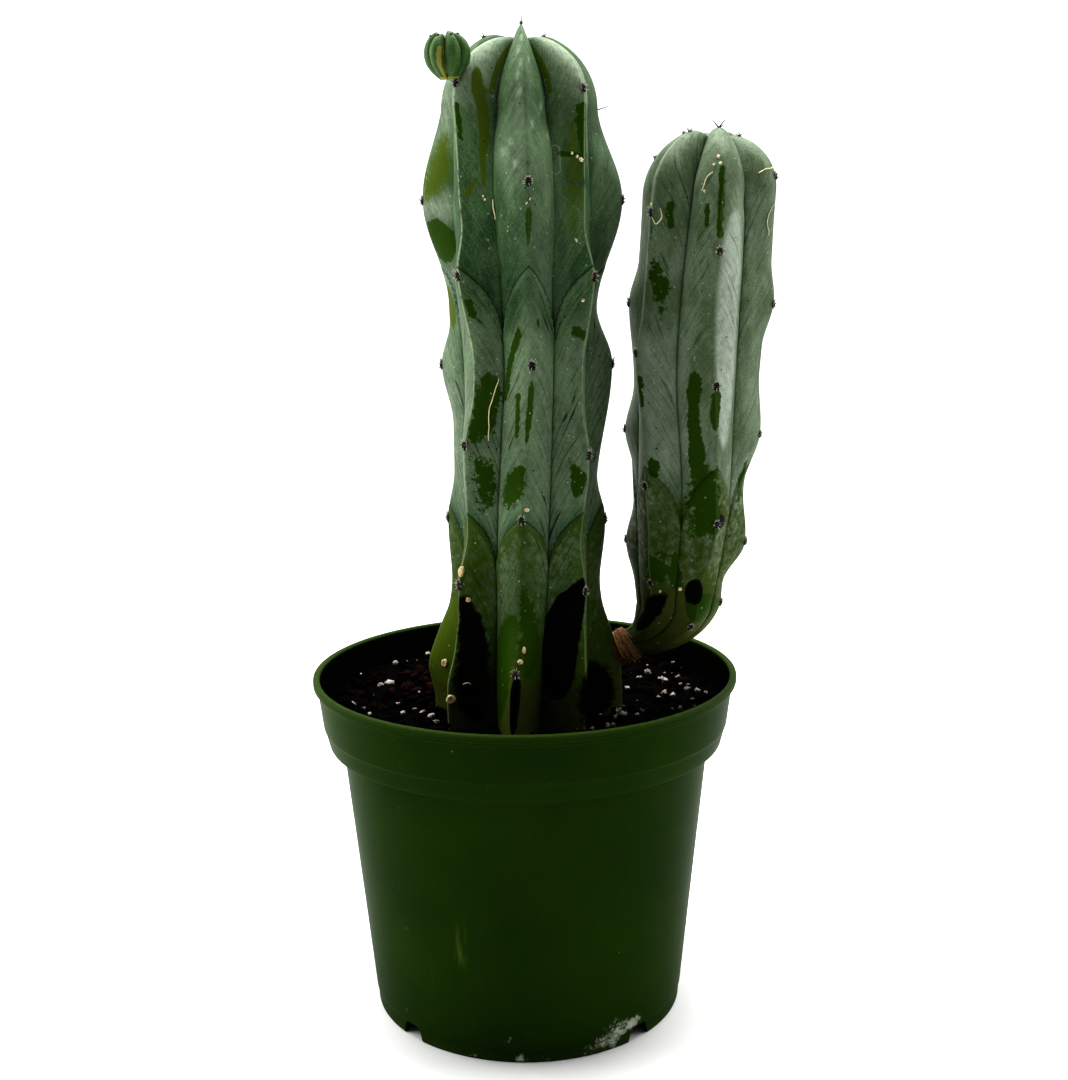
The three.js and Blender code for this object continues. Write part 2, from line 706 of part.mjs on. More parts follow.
const group = new THREE.Group();
group.position.x = -BOX_CENTRE_X;
group.add(toMesh('pot', makePot(), POT_GREEN, 0.45));
group.add(toMesh('soil', makeSoil(), SOIL_BROWN, 0.95));
group.add(toMesh('main_stem', makeMainStem(), STEM_BLUE_GREEN, 0.6));
group.add(toMesh('branch_stem', stemWithSpines(branchStem, 23), STEM_BLUE_GREEN, 0.6));
group.add(toMesh('branch_neck', makeNeck(), CORK_BROWN, 0.9));
group.add(toMesh('young_offset', stemWithSpines(youngOffset, 31), OFFSET_GREEN, 0.55));

export default group;
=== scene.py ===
"""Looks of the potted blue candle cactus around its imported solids.

Lengths are millimetres about the pot's axis, +Z up and the front facing -Y, and become metres in the
part's frame only when a mesh is written.
"""

import sys

import logging
import math
from collections.abc import Sequence
from dataclasses import dataclass, field
from enum import Enum
from functools import partial
from typing import ClassVar

import bpy
import numpy as np
from mathutils import Matrix, Vector


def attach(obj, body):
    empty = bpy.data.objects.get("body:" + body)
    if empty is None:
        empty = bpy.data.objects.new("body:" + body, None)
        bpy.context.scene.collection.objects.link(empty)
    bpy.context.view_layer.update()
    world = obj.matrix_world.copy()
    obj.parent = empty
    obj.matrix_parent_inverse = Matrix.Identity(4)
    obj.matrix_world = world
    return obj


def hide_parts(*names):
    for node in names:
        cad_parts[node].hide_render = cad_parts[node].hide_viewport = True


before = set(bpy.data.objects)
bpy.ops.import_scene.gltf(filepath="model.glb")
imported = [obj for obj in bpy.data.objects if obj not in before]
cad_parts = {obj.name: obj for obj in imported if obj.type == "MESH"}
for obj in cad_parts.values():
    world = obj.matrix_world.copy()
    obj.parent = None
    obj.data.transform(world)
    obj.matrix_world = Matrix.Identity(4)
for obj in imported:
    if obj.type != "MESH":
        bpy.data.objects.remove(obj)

LOG = logging.getLogger("cactus")

MM = 0.001
BOX_CENTRE_X = 5.0
FAR_OFF = 1e3
Array = np.ndarray
Material = bpy.types.Material
Place = tuple[float, float]
Points = Sequence[Place]
Spot = tuple[float, float, float]
Faces = list[list[int]]


# Small helpers for numbers


def to_scene(points: Array) -> Array:
    """Turns millimetres about the pot's axis into metres in the part's frame."""
    return (points - np.array((BOX_CENTRE_X, 0.0, 0.0))) * MM


def linear(hex_value: int) -> tuple[float, ...]:
    """Turns an sRGB hex colour into the linear colour, with full opacity, that a shader takes."""
    parts = [((hex_value >> shift) & 255) / 255 for shift in (16, 8, 0)]
    return *(part / 12.92 if part <= 0.04045 else ((part + 0.055) / 1.055) ** 2.4 for part in parts), 1.0


def smooth_line(points: Points, x: Array | float) -> Array:
    """Gives a smooth curve through points that never overshoots them.

    Args:
        points: Pairs of place and value, in order of place.
        x: The places to read.

    Returns:
        The curve's value at each place, level past both ends.
    """
    x = np.asarray(x, dtype=float)
    places, values = np.array(points, dtype=float).T
    if len(places) == 1:
        return np.full_like(x, values[0])
    gaps = np.diff(places)
    slopes = np.diff(values) / gaps
    before, after = slopes[:-1], slopes[1:]
    same_way = before * after > 0
    tangents = np.zeros_like(values)
    tangents[1:-1] = np.where(same_way, 2 * before * after / np.where(same_way, before + after, 1.0), 0.0)
    index = np.clip(np.searchsorted(places, x, side="right") - 1, 0, len(gaps) - 1)
    share = np.clip((x - places[index]) / gaps[index], 0.0, 1.0)
    square, cube = share**2, share**3
    level = (2 * cube - 3 * square + 1) * values[index] + (3 * square - 2 * cube) * values[index + 1]
    pull = (cube - 2 * square + share) * tangents[index] + (cube - square) * tangents[index + 1]
    return level + pull * gaps[index]


def step_up(low: float, high: float, x: Array | float) -> Array:
    """Rises smoothly from 0 at low to 1 at high."""
    share = np.clip((np.asarray(x, dtype=float) - low) / (high - low), 0.0, 1.0)
    return share * share * (3 - 2 * share)


def bell(x: Array, width: float) -> Array:
    """Gives 1 at zero and falls off on both sides over a width."""
    return np.exp(-((x / width) ** 2))


def around(count: int) -> Array:
    """Lists even angles round a full turn."""
    return np.arange(count) * 2 * math.pi / count


def unit(vectors: Array) -> Array:
    """Brings vectors to a length of 1."""
    return vectors / np.linalg.norm(vectors, axis=-1, keepdims=True)


def ripple(points: Array, size: float, seed: int, waves: int = 7) -> Array:
    """Gives a smooth wavy field.

    Args:
        points: Places in millimetres, one row each.
        size: Typical width of a wave in millimetres.
        seed: Picks the set of waves.
        waves: How many waves are added up.

    Returns:
        One value a place, mostly between -1 and 1.
    """
    draw = np.random.default_rng(seed)
    total = np.zeros(len(points))
    for _ in range(waves):
        way = draw.normal(size=3)
        way *= (0.6 + 0.8 * draw.random()) * 2 * math.pi / size / np.linalg.norm(way)
        total += np.sin(points @ way + draw.random() * 2 * math.pi)
    return total / math.sqrt(waves)


def run_distance(x: Array, z: Array, start: Place, end: Place) -> Array:
    """Measures how far places are from a straight run.

    Args:
        x: How far to the right the places are.
        z: Their heights.
        start: Where the run starts.
        end: Where it ends.

    Returns:
        The way from each place to the nearest point of the run.
    """
    along_x, along_z = end[0] - start[0], end[1] - start[1]
    share = ((x - start[0]) * along_x + (z - start[1]) * along_z) / max(along_x**2 + along_z**2, 1e-6)
    share = np.clip(share, 0, 1)
    return np.hypot(x - start[0] - share * along_x, z - start[1] - share * along_z)


def frame_of(outward: Array, up: Array) -> Array:
    """Gives the rows side, up and outward of a frame that faces outward."""
    outward = unit(outward)
    side = unit(np.cross(up, outward))
    return np.stack([side, np.cross(outward, side), outward])


# Small helpers for meshes


def write_fields(mesh: bpy.types.Mesh, fields: dict[str, Array]) -> None:
    """Writes named values, one a corner, for the mesh's material to read."""
    for name, values in fields.items():
        layer = mesh.attributes.new(name, "FLOAT", "POINT")
        layer.data.foreach_set("value", np.asarray(values, dtype=np.float32))


def add_mesh(
    name: str, points: Array, faces: Faces, fields: dict[str, Array] | None = None
) -> bpy.types.Object:
    """Writes a smooth-shaded mesh object.

    Args:
        name: The piece's name.
        points: Its corners in millimetres about the pot's axis.
        faces: Corner numbers of each face.
        fields: Named values, one a corner, for its material to read.

    Returns:
        The new object, linked to the scene.
    """
    mesh = bpy.data.meshes.new(name)
    mesh.from_pydata(to_scene(points).tolist(), [], faces)
    mesh.shade_smooth()
    write_fields(mesh, fields or {})
    mesh.validate()
    made = bpy.data.objects.new(name, mesh)
    bpy.context.scene.collection.objects.link(made)
    return made


def settle(piece: bpy.types.Object, node: str, material: Material) -> None:
    """Gives a piece its finish, its place in the assembly and its line in the log.

    Args:
        piece: The piece.
        node: The solid that it stands for.
        material: Its finish.
    """
    piece.data.materials.append(material)
    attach(piece, "root")
    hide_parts(node)
    LOG.info("%s: %d faces, stands for %s", piece.name, len(piece.data.polygons), node)


def closed_faces(rings: int, columns: int) -> Faces:
    """Lists the faces of rings closed by a low point and a high point that come after them.

    Args:
        rings: How many rings there are, from low to high, each running anticlockwise.
        columns: Points in each ring.

    Returns:
        Corner numbers of each face, facing outwards.
    """
    first, column = np.meshgrid(np.arange(rings - 1) * columns, np.arange(columns), indexing="ij")
    after = (column + 1) % columns
    quads = np.stack([first + column, first + after, first + columns + after, first + columns + column], -1)
    faces = quads.reshape(-1, 4).tolist()
    low, top = rings * columns, (rings - 1) * columns
    for corner in range(columns):
        following = (corner + 1) % columns
        faces += [[low, following, corner], [low + 1, top + corner, top + following]]
    return faces


class Clump:
    """Many small bodies gathered into one mesh."""

    def __init__(self) -> None:
        """Starts empty."""
        self.points: list[Array] = []
        self.faces: Faces = []
        self.fields: dict[str, list[Array]] = {}
        self.count = 0

    def add(self, points: Array, faces: Faces, **fields: Array | float) -> None:
        """Adds one body.

        Args:
            points: Its corners in millimetres.
            faces: Its faces by its own corner numbers.
            fields: Named values that hold for the whole body, or one value a corner.
        """
        self.points.append(points)
        self.faces.extend([[corner + self.count for corner in face] for face in faces])
        self.count += len(points)
        for name, value in fields.items():
            self.fields.setdefault(name, []).append(np.broadcast_to(value, (len(points),)))

    def build(self, name: str) -> bpy.types.Object:
        """Writes all bodies as one mesh object called name."""
        gathered = {key: np.concatenate(values) for key, values in self.fields.items()}
        return add_mesh(name, np.concatenate(self.points), self.faces, gathered)


def ball(rings: int, columns: int) -> tuple[Array, Faces]:
    """Makes a unit ball of rings and columns with a point at each pole.

    Args:
        rings: Rings between the poles.
        columns: Points in each ring.

    Returns:
        Its corners and faces.
    """
    tilt = np.linspace(-math.pi / 2, math.pi / 2, rings + 2)[1:-1]
    tilts, turns = np.meshgrid(tilt, around(columns), indexing="ij")
    body = np.stack([np.cos(tilts) * np.cos(turns), np.cos(tilts) * np.sin(turns), np.sin(tilts)], -1)
    points = np.concatenate([body.reshape(-1, 3), [[0, 0, -1], [0, 0, 1]]])
    return points, closed_faces(rings, columns)


def tube(path: Array, radii: Array, sides: int) -> tuple[Array, Faces]:
    """Makes a closed round tube along a path.

    Args:
        path: Points of its middle line.
        radii: Its radius at each point.
        sides: Points round it.

    Returns:
        Its corners and faces.
    """
    way = unit(np.gradient(path, axis=0))
    helper = np.array((0.31, 0.87, 0.38)) if abs(way[0, 2]) > 0.7 else np.array((0.1, 0.2, 1.0))
    side = unit(np.cross(way, helper))
    turn = around(sides)[None, :, None]
    ring = side[:, None] * np.cos(turn) + np.cross(way, side)[:, None] * np.sin(turn)
    body = (path[:, None] + ring * radii[:, None, None]).reshape(-1, 3)
    return np.concatenate([body, path[:1], path[-1:]]), closed_faces(len(path), sides)


# Finishes


def add_node(
    tree: bpy.types.NodeTree, kind: str, inputs: dict[str | int, object] | None = None, **settings: object
) -> bpy.types.Node:
    """Adds a node with its settings and links.

    Args:
        tree: The node tree to add it to.
        kind: The node's type without its ShaderNode prefix.
        inputs: For each socket a fixed value, the socket that feeds it, or the node whose result does.
        settings: The node's own settings.

    Returns:
        The new node.
    """
    made = tree.nodes.new("ShaderNode" + kind)
    for key, value in settings.items():
        setattr(made, key, value)
    for key, value in (inputs or {}).items():
        if isinstance(value, bpy.types.Node):
            value = next(socket for socket in value.outputs if socket.enabled)
        if isinstance(value, bpy.types.NodeSocket):
            tree.links.new(value, made.inputs[key])
        else:
            made.inputs[key].default_value = value
    return made


class Step(Enum):
    """A step on the way to a finish: its node, the sockets that its inputs fill, and its setting.

    LAY covers the colour so far with another one where a mask is 1.
    """

    NOISE = ("TexNoise", ("Vector", "Scale", "Detail", "Roughness"), {})
    CELLS = ("TexVoronoi", ("Vector", "Scale"), {})
    BANDS = ("TexWave", ("Vector", "Scale", "Distortion", "Detail", "Detail Scale"), {})
    BUMP = ("Bump", ("Height", "Strength", "Distance"), {})
    GATHER = ("CombineXYZ", (0, 1, 2), {})
    PARTS = ("SeparateColor", (0,), {})
    STRETCH = ("VectorMath", (0, 1), {"operation": "MULTIPLY"})
    LAY = ("Mix", (0, 6, 7), {"data_type": "RGBA"})
    RISE = ("MapRange", (0, 1, 2, 3, 4), {"interpolation_type": "SMOOTHSTEP"})
    SCALE = ("MapRange", (0, 1, 2, 3, 4), {"interpolation_type": "LINEAR"})
    TIMES = ("Math", (0, 1), {"operation": "MULTIPLY"})
    PLUS = ("Math", (0, 1), {"operation": "ADD"})
    MINUS = ("Math", (0, 1), {"operation": "SUBTRACT"})
    MOST = ("Math", (0, 1), {"operation": "MAXIMUM"})
    LEAST = ("Math", (0, 1), {"operation": "MINIMUM"})
    OVER = ("Math", (0, 1), {"operation": "GREATER_THAN"})
    SIZE = ("Math", (0,), {"operation": "ABSOLUTE"})
    TIMES_PLUS = ("Math", (0, 1, 2), {"operation": "MULTIPLY_ADD"})


NOISE, CELLS, BANDS, BUMP, GATHER, PARTS, STRETCH, LAY, RISE = tuple(Step)[:9]
SCALE, TIMES, PLUS, MINUS, MOST, LEAST, OVER, SIZE, TIMES_PLUS = tuple(Step)[9:]
Steps = tuple[tuple[object, ...], ...]


@dataclass(frozen=True)
class Finish:
    """What all finishes share: a shader, and steps from the mesh's own fields to its colour and relief.

    A step is its result's name, its kind, and its inputs as values or as names. A name stands for an
    earlier result, a field that the mesh has, or one of the finish's own numbers, and after LAY for
    one of its colours.
    """

    name: str
    base: int
    roughness: float
    specular: float = 0.5
    ior: float = 1.5
    reads: ClassVar[tuple[str, ...]] = ()
    steps: ClassVar[Steps] = ()

    def build(self) -> Material:
        """Makes the material out of the steps.

        Returns:
            The finish. A step's input beyond its sockets is worked in by one more node of its kind.
        """
        material = bpy.data.materials.new(self.name)
        material.use_nodes = True
        material.node_tree.nodes.clear()
        node = partial(add_node, material.node_tree)
        found = {**vars(self), "colour": linear(self.base), "place": node("TexCoord").outputs["Object"]}
        for key in self.reads:
            found[key] = node("Attribute", attribute_name=key).outputs["Fac"]
        for name, step, *inputs in self.steps:
            kind, sockets, settings = step.value
            if step is LAY:
                inputs = [inputs[0], found["colour"], linear(getattr(self, inputs[1]))]
            values = [self.result(found, item) for item in inputs]
            made = node(kind, dict(zip(sockets, values)), **settings)
            for value in values[len(sockets) :]:
                made = node(kind, {0: made, 1: value}, **settings)
            found[name] = made
        look = {"Base Color": "colour", "Roughness": "roughness", "IOR": "ior", "Normal": "bump"}
        look["Specular IOR Level"] = "specular"
        look = {socket: found[key] for socket, key in look.items() if key in found}
        node("OutputMaterial", {"Surface": node("BsdfPrincipled", look)})
        return material

    def result(self, found: dict[str, object], item: object) -> object:
        """Looks up an input.

        Args:
            found: The results so far.
            item: A plain value, a result's name, or a result's name and socket with a dot between them.

        Returns:
            The value, node or socket.
        """
        if not isinstance(item, str):
            return item
        name, _, socket = item.partition(".")
        return found[name].outputs[socket] if socket else found[name]


class Mark(Enum):
    """What a stroke on a stem leaves on its skin."""

    FROST = "frost"
    GLOW = "glow"
    BARE = "bare"
    AGED = "aged"
    WET = "wet"
    RING = "ring"


BARE, WET, AGED, GLOW, FROST, RING = Mark.BARE, Mark.WET, Mark.AGED, Mark.GLOW, Mark.FROST, Mark.RING


@dataclass(frozen=True)
class BloomedSkin(Finish):
    """Cactus epidermis under its wax bloom, as it grew.

    The bloom, the base colour here, scatters light into a soft grey-green and is thickest round the
    tip. Where it was rubbed off or washed away, the skin shows darker, yellower and glossier.
    """

    name: str = "bloomed_cactus_skin"
    base: int = 0x4E6745
    base_shade: int = 0x2B4526
    frost: int = 0x97A28E
    bare: int = 0x294200
    bare_light: int = 0x49580E
    wet: int = 0x010200
    aged: int = 0x374704
    aged_cork: int = 0x4A4E24
    # Colour of veins and dark specks, and of the painted shade in the grooves and growth lines
    vein: int = 0x132812
    # Colour of the painted shade in the folds above the growth lines
    fold: int = 0x123A2C
    # Colour of the painted highlight along the crests
    crest: int = 0x98A688
    fleck: int = 0xA8B29E
    roughness: float = 0.5
    bare_roughness: float = 0.3
    specular: float = 0.1
    bare_specular: float = 0.02
    ior: float = 1.45
    reads: ClassVar[tuple[str, ...]] = (
        "flank", "vein", "veined", "seed", "edge", "crease", "arch_high", "arch_low", "fold",
        *(mark.value for mark in Mark),
    )
    steps: ClassVar[Steps] = (
        # Cloudy bloom in upright patches of 8 mm, with grains of 0.4 mm drawn a little coarser
        ("upright", STRETCH, "place", (130.0, 130.0, 60.0)),
        ("cloud", NOISE, "upright", 1.0, 6.0, 0.65),
        ("grain", NOISE, "place", 1400.0, 3.0, 0.7),
        ("ragged", NOISE, "place", 430.0, 8.0, 0.72),
        ("thin", RISE, "cloud", 0.36, 0.62, 0.0, 0.9),
        ("colour", LAY, "thin", "base_shade"),
        ("pit", RISE, "grain", 0.5, 0.72, 0.0, 0.6),
        ("colour", LAY, "pit", "base_shade"),
        ("grit", RISE, "grain", 0.5, 0.3, 0.0, 0.16),
        ("colour", LAY, "grit", "frost"),
        ("patchy", RISE, "ragged", 0.3, 0.64, 0.45),
        ("rime", TIMES, "frost", "patchy"),
        ("colour", LAY, "rime", "frost"),
        # Long fine veins every 5 mm, that leave the groove steeply and bend out to the crest
        ("run", GATHER, "vein", "flank", "seed"),
        ("spread", STRETCH, "run", (1.0, 4.0, 17.0)),
        ("wave", BANDS, "spread", 0.0628, 5.0, 1.0, 4.0),
        ("line", RISE, "wave.Fac", 0.96, 1.0),
        ("inner", RISE, "flank", 0.04, 0.4, 0.1),
        ("faded", RISE, "cloud", 0.35, 0.55, 0.45),
        ("veins", TIMES, "line", "inner", "veined", "faded"),
        ("colour", LAY, "veins", "vein"),
        ("comb", STRETCH, "run", (0.9, 1.2, 9.7)),
        ("strand", NOISE, "comb", 1.0, 3.0, 0.6),
        ("streak", RISE, "strand", 0.48, 0.72, 0.0, 0.3),
        ("colour", LAY, "streak", "base_shade"),
        ("sheer", RISE, "strand", 0.48, 0.28, 0.0, 0.12),
        ("colour", LAY, "sheer", "frost"),
        # Painted shade in the fold above each growth line, and a painted highlight 2.5 mm wide on the lip
        # under the upper one
        ("colour", LAY, "fold", "fold"),
        ("under", MINUS, "arch_high", 1.4),
        ("under", SIZE, "under"),
        ("fresh", RISE, "under", 1.9, 0.5, 0.0, 0.08),
        ("colour", LAY, "fresh", "frost"),
        # Older skin low down: olive, mottled with cork
        ("wander", TIMES_PLUS, "ragged", 1.8, -0.9),
        ("old", TIMES_PLUS, "frost", -0.9, "aged"),
        ("old", PLUS, "old", "wander"),
        ("old", RISE, "old", 0.2, 0.8, 0.0, 0.9),
        ("colour", LAY, "old", "aged"),
        ("corky", TIMES_PLUS, "ragged", "aged", "aged"),
        ("corky", RISE, "corky", 1.15, 1.5, 0.0, 0.7),
        ("colour", LAY, "corky", "aged_cork"),
        # Thin bloom: a clear yellow-green, and an olive band 3 mm wide under the lower growth line
        ("clear", TIMES_PLUS, "wander", 0.5, "glow"),
        ("clear", RISE, "clear", 0.36, 0.62, 0.0, 0.9),
        ("colour", LAY, "clear", "bare_light"),
        ("under", MINUS, "arch_low", 1.5),
        ("under", SIZE, "under"),
        ("band", RISE, "under", 2.0, 0.5, 0.0, 0.8),
        ("colour", LAY, "band", "aged"),
        # Bloom rubbed off: crisp ragged edges with islands left standing
        ("wiped", PLUS, "bare", "wander"),
        ("wiped", RISE, "wiped", 0.42, 0.54, 0.0, 0.97),
        ("colour", LAY, "wiped", "bare"),
        # White flecks and dark specks up to 0.5 mm wide, more of them where the bloom is thick
        ("cells", CELLS, "place", 480.0),
        ("dot", RISE, "cells", 0.2, 0.1),
        ("chance", PARTS, "cells.Color"),
        ("often", TIMES_PLUS, "frost", 0.25, "chance.Red"),
        ("white", OVER, "often", 0.84),
        ("white", TIMES, "white", "dot", 0.5),
        ("colour", LAY, "white", "fleck"),
        ("dark", OVER, "chance.Green", 0.91),
        ("dark", TIMES, "dark", "dot"),
        ("colour", LAY, "dark", "vein"),
        # Dark patches, nearly black and without a shine: wet skin, and painted shadow low down near the soil
        ("soaked", TIMES_PLUS, "wander", 0.45, "wet"),
        ("soaked", RISE, "soaked", 0.34, 0.6, 0.0, 0.98),
        ("colour", LAY, "soaked", "wet"),
        # Outlines of dried drops
        ("outer", RISE, "ring", 0.04, 0.1),
        ("middle", RISE, "ring", 0.24, 0.16, 0.0, 0.3),
        ("dried", TIMES, "outer", "middle"),
        ("colour", LAY, "dried", "fleck"),
        # A painted highlight: the pale edge of the crest, broken up
        ("broken", RISE, "ragged", 0.36, 0.5),
        ("crest", RISE, "flank", 0.045, 0.012),
        ("dry", MINUS, 1.0, "soaked"),
        ("rim", TIMES, "edge", "broken", "crest", "dry"),
        ("colour", LAY, "rim", "crest"),
        # Painted shade: dark lines in the grooves and along the growth lines
        ("high", SIZE, "arch_high"),
        ("low", SIZE, "arch_low"),
        ("seam", LEAST, "high", "low"),
        ("seam", RISE, "seam", 0.6, 0.15, 0.0, 0.75),
        ("groove", RISE, "flank", 0.955, 0.985, 0.0, 0.6),
        ("groove", TIMES, "groove", "crease"),
        ("seam", MOST, "seam", "groove"),
        ("colour", LAY, "seam", "vein"),
        # Duller where bloom is gone and in painted shadow: rubbed and wet skin gives no highlight under soft
        # light
        ("roughness", SCALE, "wiped", 0.0, 1.0, "roughness", "bare_roughness"),
        ("dull", MOST, "wiped", "clear", "old", "soaked"),
        ("specular", SCALE, "dull", 0.0, 1.0, "specular", "bare_specular"),
        ("relief", TIMES_PLUS, "veins", -1.2, "grain"),
        ("relief", TIMES_PLUS, "cloud", 2.0, "relief"),
        ("bump", BUMP, "relief", 0.3, 0.0004),
    )


@dataclass(frozen=True)
class Felt(Finish):
    """Old wool in an areole: dull black with a little brown in it, in tufts 0.4 mm wide."""

    name: str = "areole_wool"
    base: int = 0x060504
    pale: int = 0x2E2822
    roughness: float = 0.95
    steps: ClassVar[Steps] = (
        ("tuft", NOISE, "place", 1300.0, 3.0),
        ("mask", SCALE, "tuft", 0.46, 0.66),
        ("colour", LAY, "mask", "pale"),
        ("bump", BUMP, "tuft", 0.8, 0.0003),
    )


@dataclass(frozen=True)
class SpineHorn(Finish):
    """Spine horn, grown: black-brown at the root and grey to straw at the point, with a dull shine."""

    name: str = "spine_horn"
    base: int = 0x0C0A09
    point: int = 0xB4AE9F
    roughness: float = 0.45
    reads: ClassVar[tuple[str, ...]] = ("pale",)
    steps: ClassVar[Steps] = (("colour", LAY, "pale", "point"),)


@dataclass(frozen=True)
class Cork(Finish):
    """Dry cork and plant fibre, grown and weathered: matt, streaked in grains of 0.5 mm."""

    name: str = "dry_cork"
    base: int = 0x4A2A18
    light: int = 0xB08656
    roughness: float = 0.85
    reads: ClassVar[tuple[str, ...]] = ("tone",)
    steps: ClassVar[Steps] = (
        ("streak", NOISE, "place", 900.0, 4.0),
        ("mask", TIMES_PLUS, "streak", 0.8, "tone"),
        ("share", SCALE, "mask", 0.3, 1.25),
        ("colour", LAY, "share", "light"),
        ("bump", BUMP, "streak", 0.6, 0.0003),
    )


@dataclass(frozen=True)
class MouldedPolypropylene(Finish):
    """Injection-moulded dark green polypropylene: satin, with fine scratches, dust and lime deposits."""

    name: str = "moulded_green_polypropylene"
    base: int = 0x172F00
    # Lighter green of the flow clouds, also used for the light painted through the thin lip
    base_light: int = 0x2D4400
    scuffed: int = 0x5E7034
    dust: int = 0x565C3E
    # Colour of the painted shade inside the pot
    peat: int = 0x020301
    lime: int = 0xA9ABA0
    roughness: float = 0.42
    dusty_roughness: float = 0.9
    specular: float = 0.02
    ior: float = 1.49
    reads: ClassVar[tuple[str, ...]] = ("dusty", "lime", "thin", "peaty", "scuff")
    steps: ClassVar[Steps] = (
        # Flow clouds of 45 mm, and a lighter tone near the lip, painted as light shining through the thin
        # wall
        ("cloud", NOISE, "place", 22.0, 3.0),
        ("flow", SCALE, "cloud", 0.35, 0.75, 0.0, 0.35),
        ("flow", MOST, "flow", "thin"),
        ("colour", LAY, "flow", "base_light"),
        # Handling scratches: long, thin and steep, 0.15 mm wide
        ("steep", STRETCH, "place", (900.0, 900.0, 55.0)),
        ("hair", NOISE, "steep", 1.0, 1.0),
        ("scratch", SCALE, "hair", 0.7, 0.8, 0.0, 0.1),
        ("fine", NOISE, "place", 380.0, 6.0, 0.7),
        ("dust", TIMES, "dusty", "fine"),
        ("dust", MOST, "dust", "scratch"),
        ("colour", LAY, "dust", "dust"),
        ("rubbed", SCALE, "hair", 0.4, 0.62),
        ("rubbed", TIMES, "rubbed", "scuff"),
        ("colour", LAY, "rubbed", "scuffed"),
        # Painted shade over the inside wall, nearly black
        ("colour", LAY, "peaty", "peat"),
        # Lime left by dried water: mottled crusts with ragged edges
        ("coarse", NOISE, "place", 150.0, 9.0, 0.75),
        ("crust", TIMES_PLUS, "coarse", 3.0, -1.5),
        ("crust", PLUS, "crust", "lime"),
        ("crust", RISE, "crust", 0.45, 0.85, 0.0, 0.9),
        ("pitted", RISE, "fine", 0.38, 0.56, 0.3),
        ("crust", TIMES, "crust", "pitted"),
        ("colour", LAY, "crust", "lime"),
        # Rougher under dust, lime and the painted inside shade, which has no shine
        ("worn", MOST, "crust", "dust", "peaty"),
        ("roughness", SCALE, "worn", 0.0, 1.0, "roughness", "dusty_roughness"),
        ("specular", SCALE, "peaty", 0.0, 1.0, "specular", 0.0),
        ("relief", TIMES_PLUS, "crust", 2.0, "cloud"),
        ("bump", BUMP, "relief", 0.25, 0.0004),
    )


@dataclass(frozen=True)
class PottingMix(Finish):
    """Damp peat and composted bark: nearly black, open and dull, in crumbs of 0.7 mm."""

    name: str = "damp_potting_mix"
    base: int = 0x030202
    bark: int = 0x2A160E
    roughness: float = 0.9
    specular: float = 0.03
    reads: ClassVar[tuple[str, ...]] = ("tone",)
    steps: ClassVar[Steps] = (
        ("crumb", NOISE, "place", 700.0, 6.0, 0.7),
        ("mask", TIMES, "crumb", "tone"),
        ("share", SCALE, "mask", 0.1, 0.65),
        ("colour", LAY, "share", "bark"),
        ("bump", BUMP, "crumb", 1.0, 0.001),
    )


@dataclass(frozen=True)
class Perlite(Finish):
    """Perlite, a glassy rock puffed by heat: chalky white with pits of 0.5 mm, stained by peat."""

    name: str = "puffed_perlite"
    base: int = 0x3E322B
    clean: int = 0xB0A89D
    roughness: float = 0.8
    reads: ClassVar[tuple[str, ...]] = ("tone",)
    steps: ClassVar[Steps] = (
        ("pits", NOISE, "place", 1000.0, 5.0, 0.65),
        ("mask", TIMES_PLUS, "pits", 0.9, "tone"),
        ("share", SCALE, "mask", 0.45, 1.2),
        ("colour", LAY, "share", "clean"),
        ("bump", BUMP, "pits", 0.9, 0.0006),
    )


# Ribbed stems


@dataclass(frozen=True)
class Stroke:
    """A mark on a stem's skin along a line of places.

    A place is a rib count and a height in mm. The count is 0 on the front crest, rises to the right
    by 1 at each crest, and is negative on the left.
    """

    mark: Mark
    width: float
    places: tuple[Place, ...]
    strength: float = 1.0


@dataclass(frozen=True)
class Patch:
    """A mark on a stem's skin inside a closed outline of places, with rounded corners and a soft edge."""

    mark: Mark
    corners: tuple[Place, ...]
    soft: float = 1.2
    strength: float = 1.0


@dataclass(frozen=True)
class Rib:
    """One rib: the bearing of its crest at heights, its areoles and the height of its tip.

    An areole is its height, how far it stands out, and where they differ from the stem's own, its
    reach above and below. The edge says how strong the painted highlight along the crest is.
    """

    bearing: Points
    areoles: tuple[tuple[float, ...], ...]
    tip: float
    blunt: Points = ()
    edge: float = 0.35


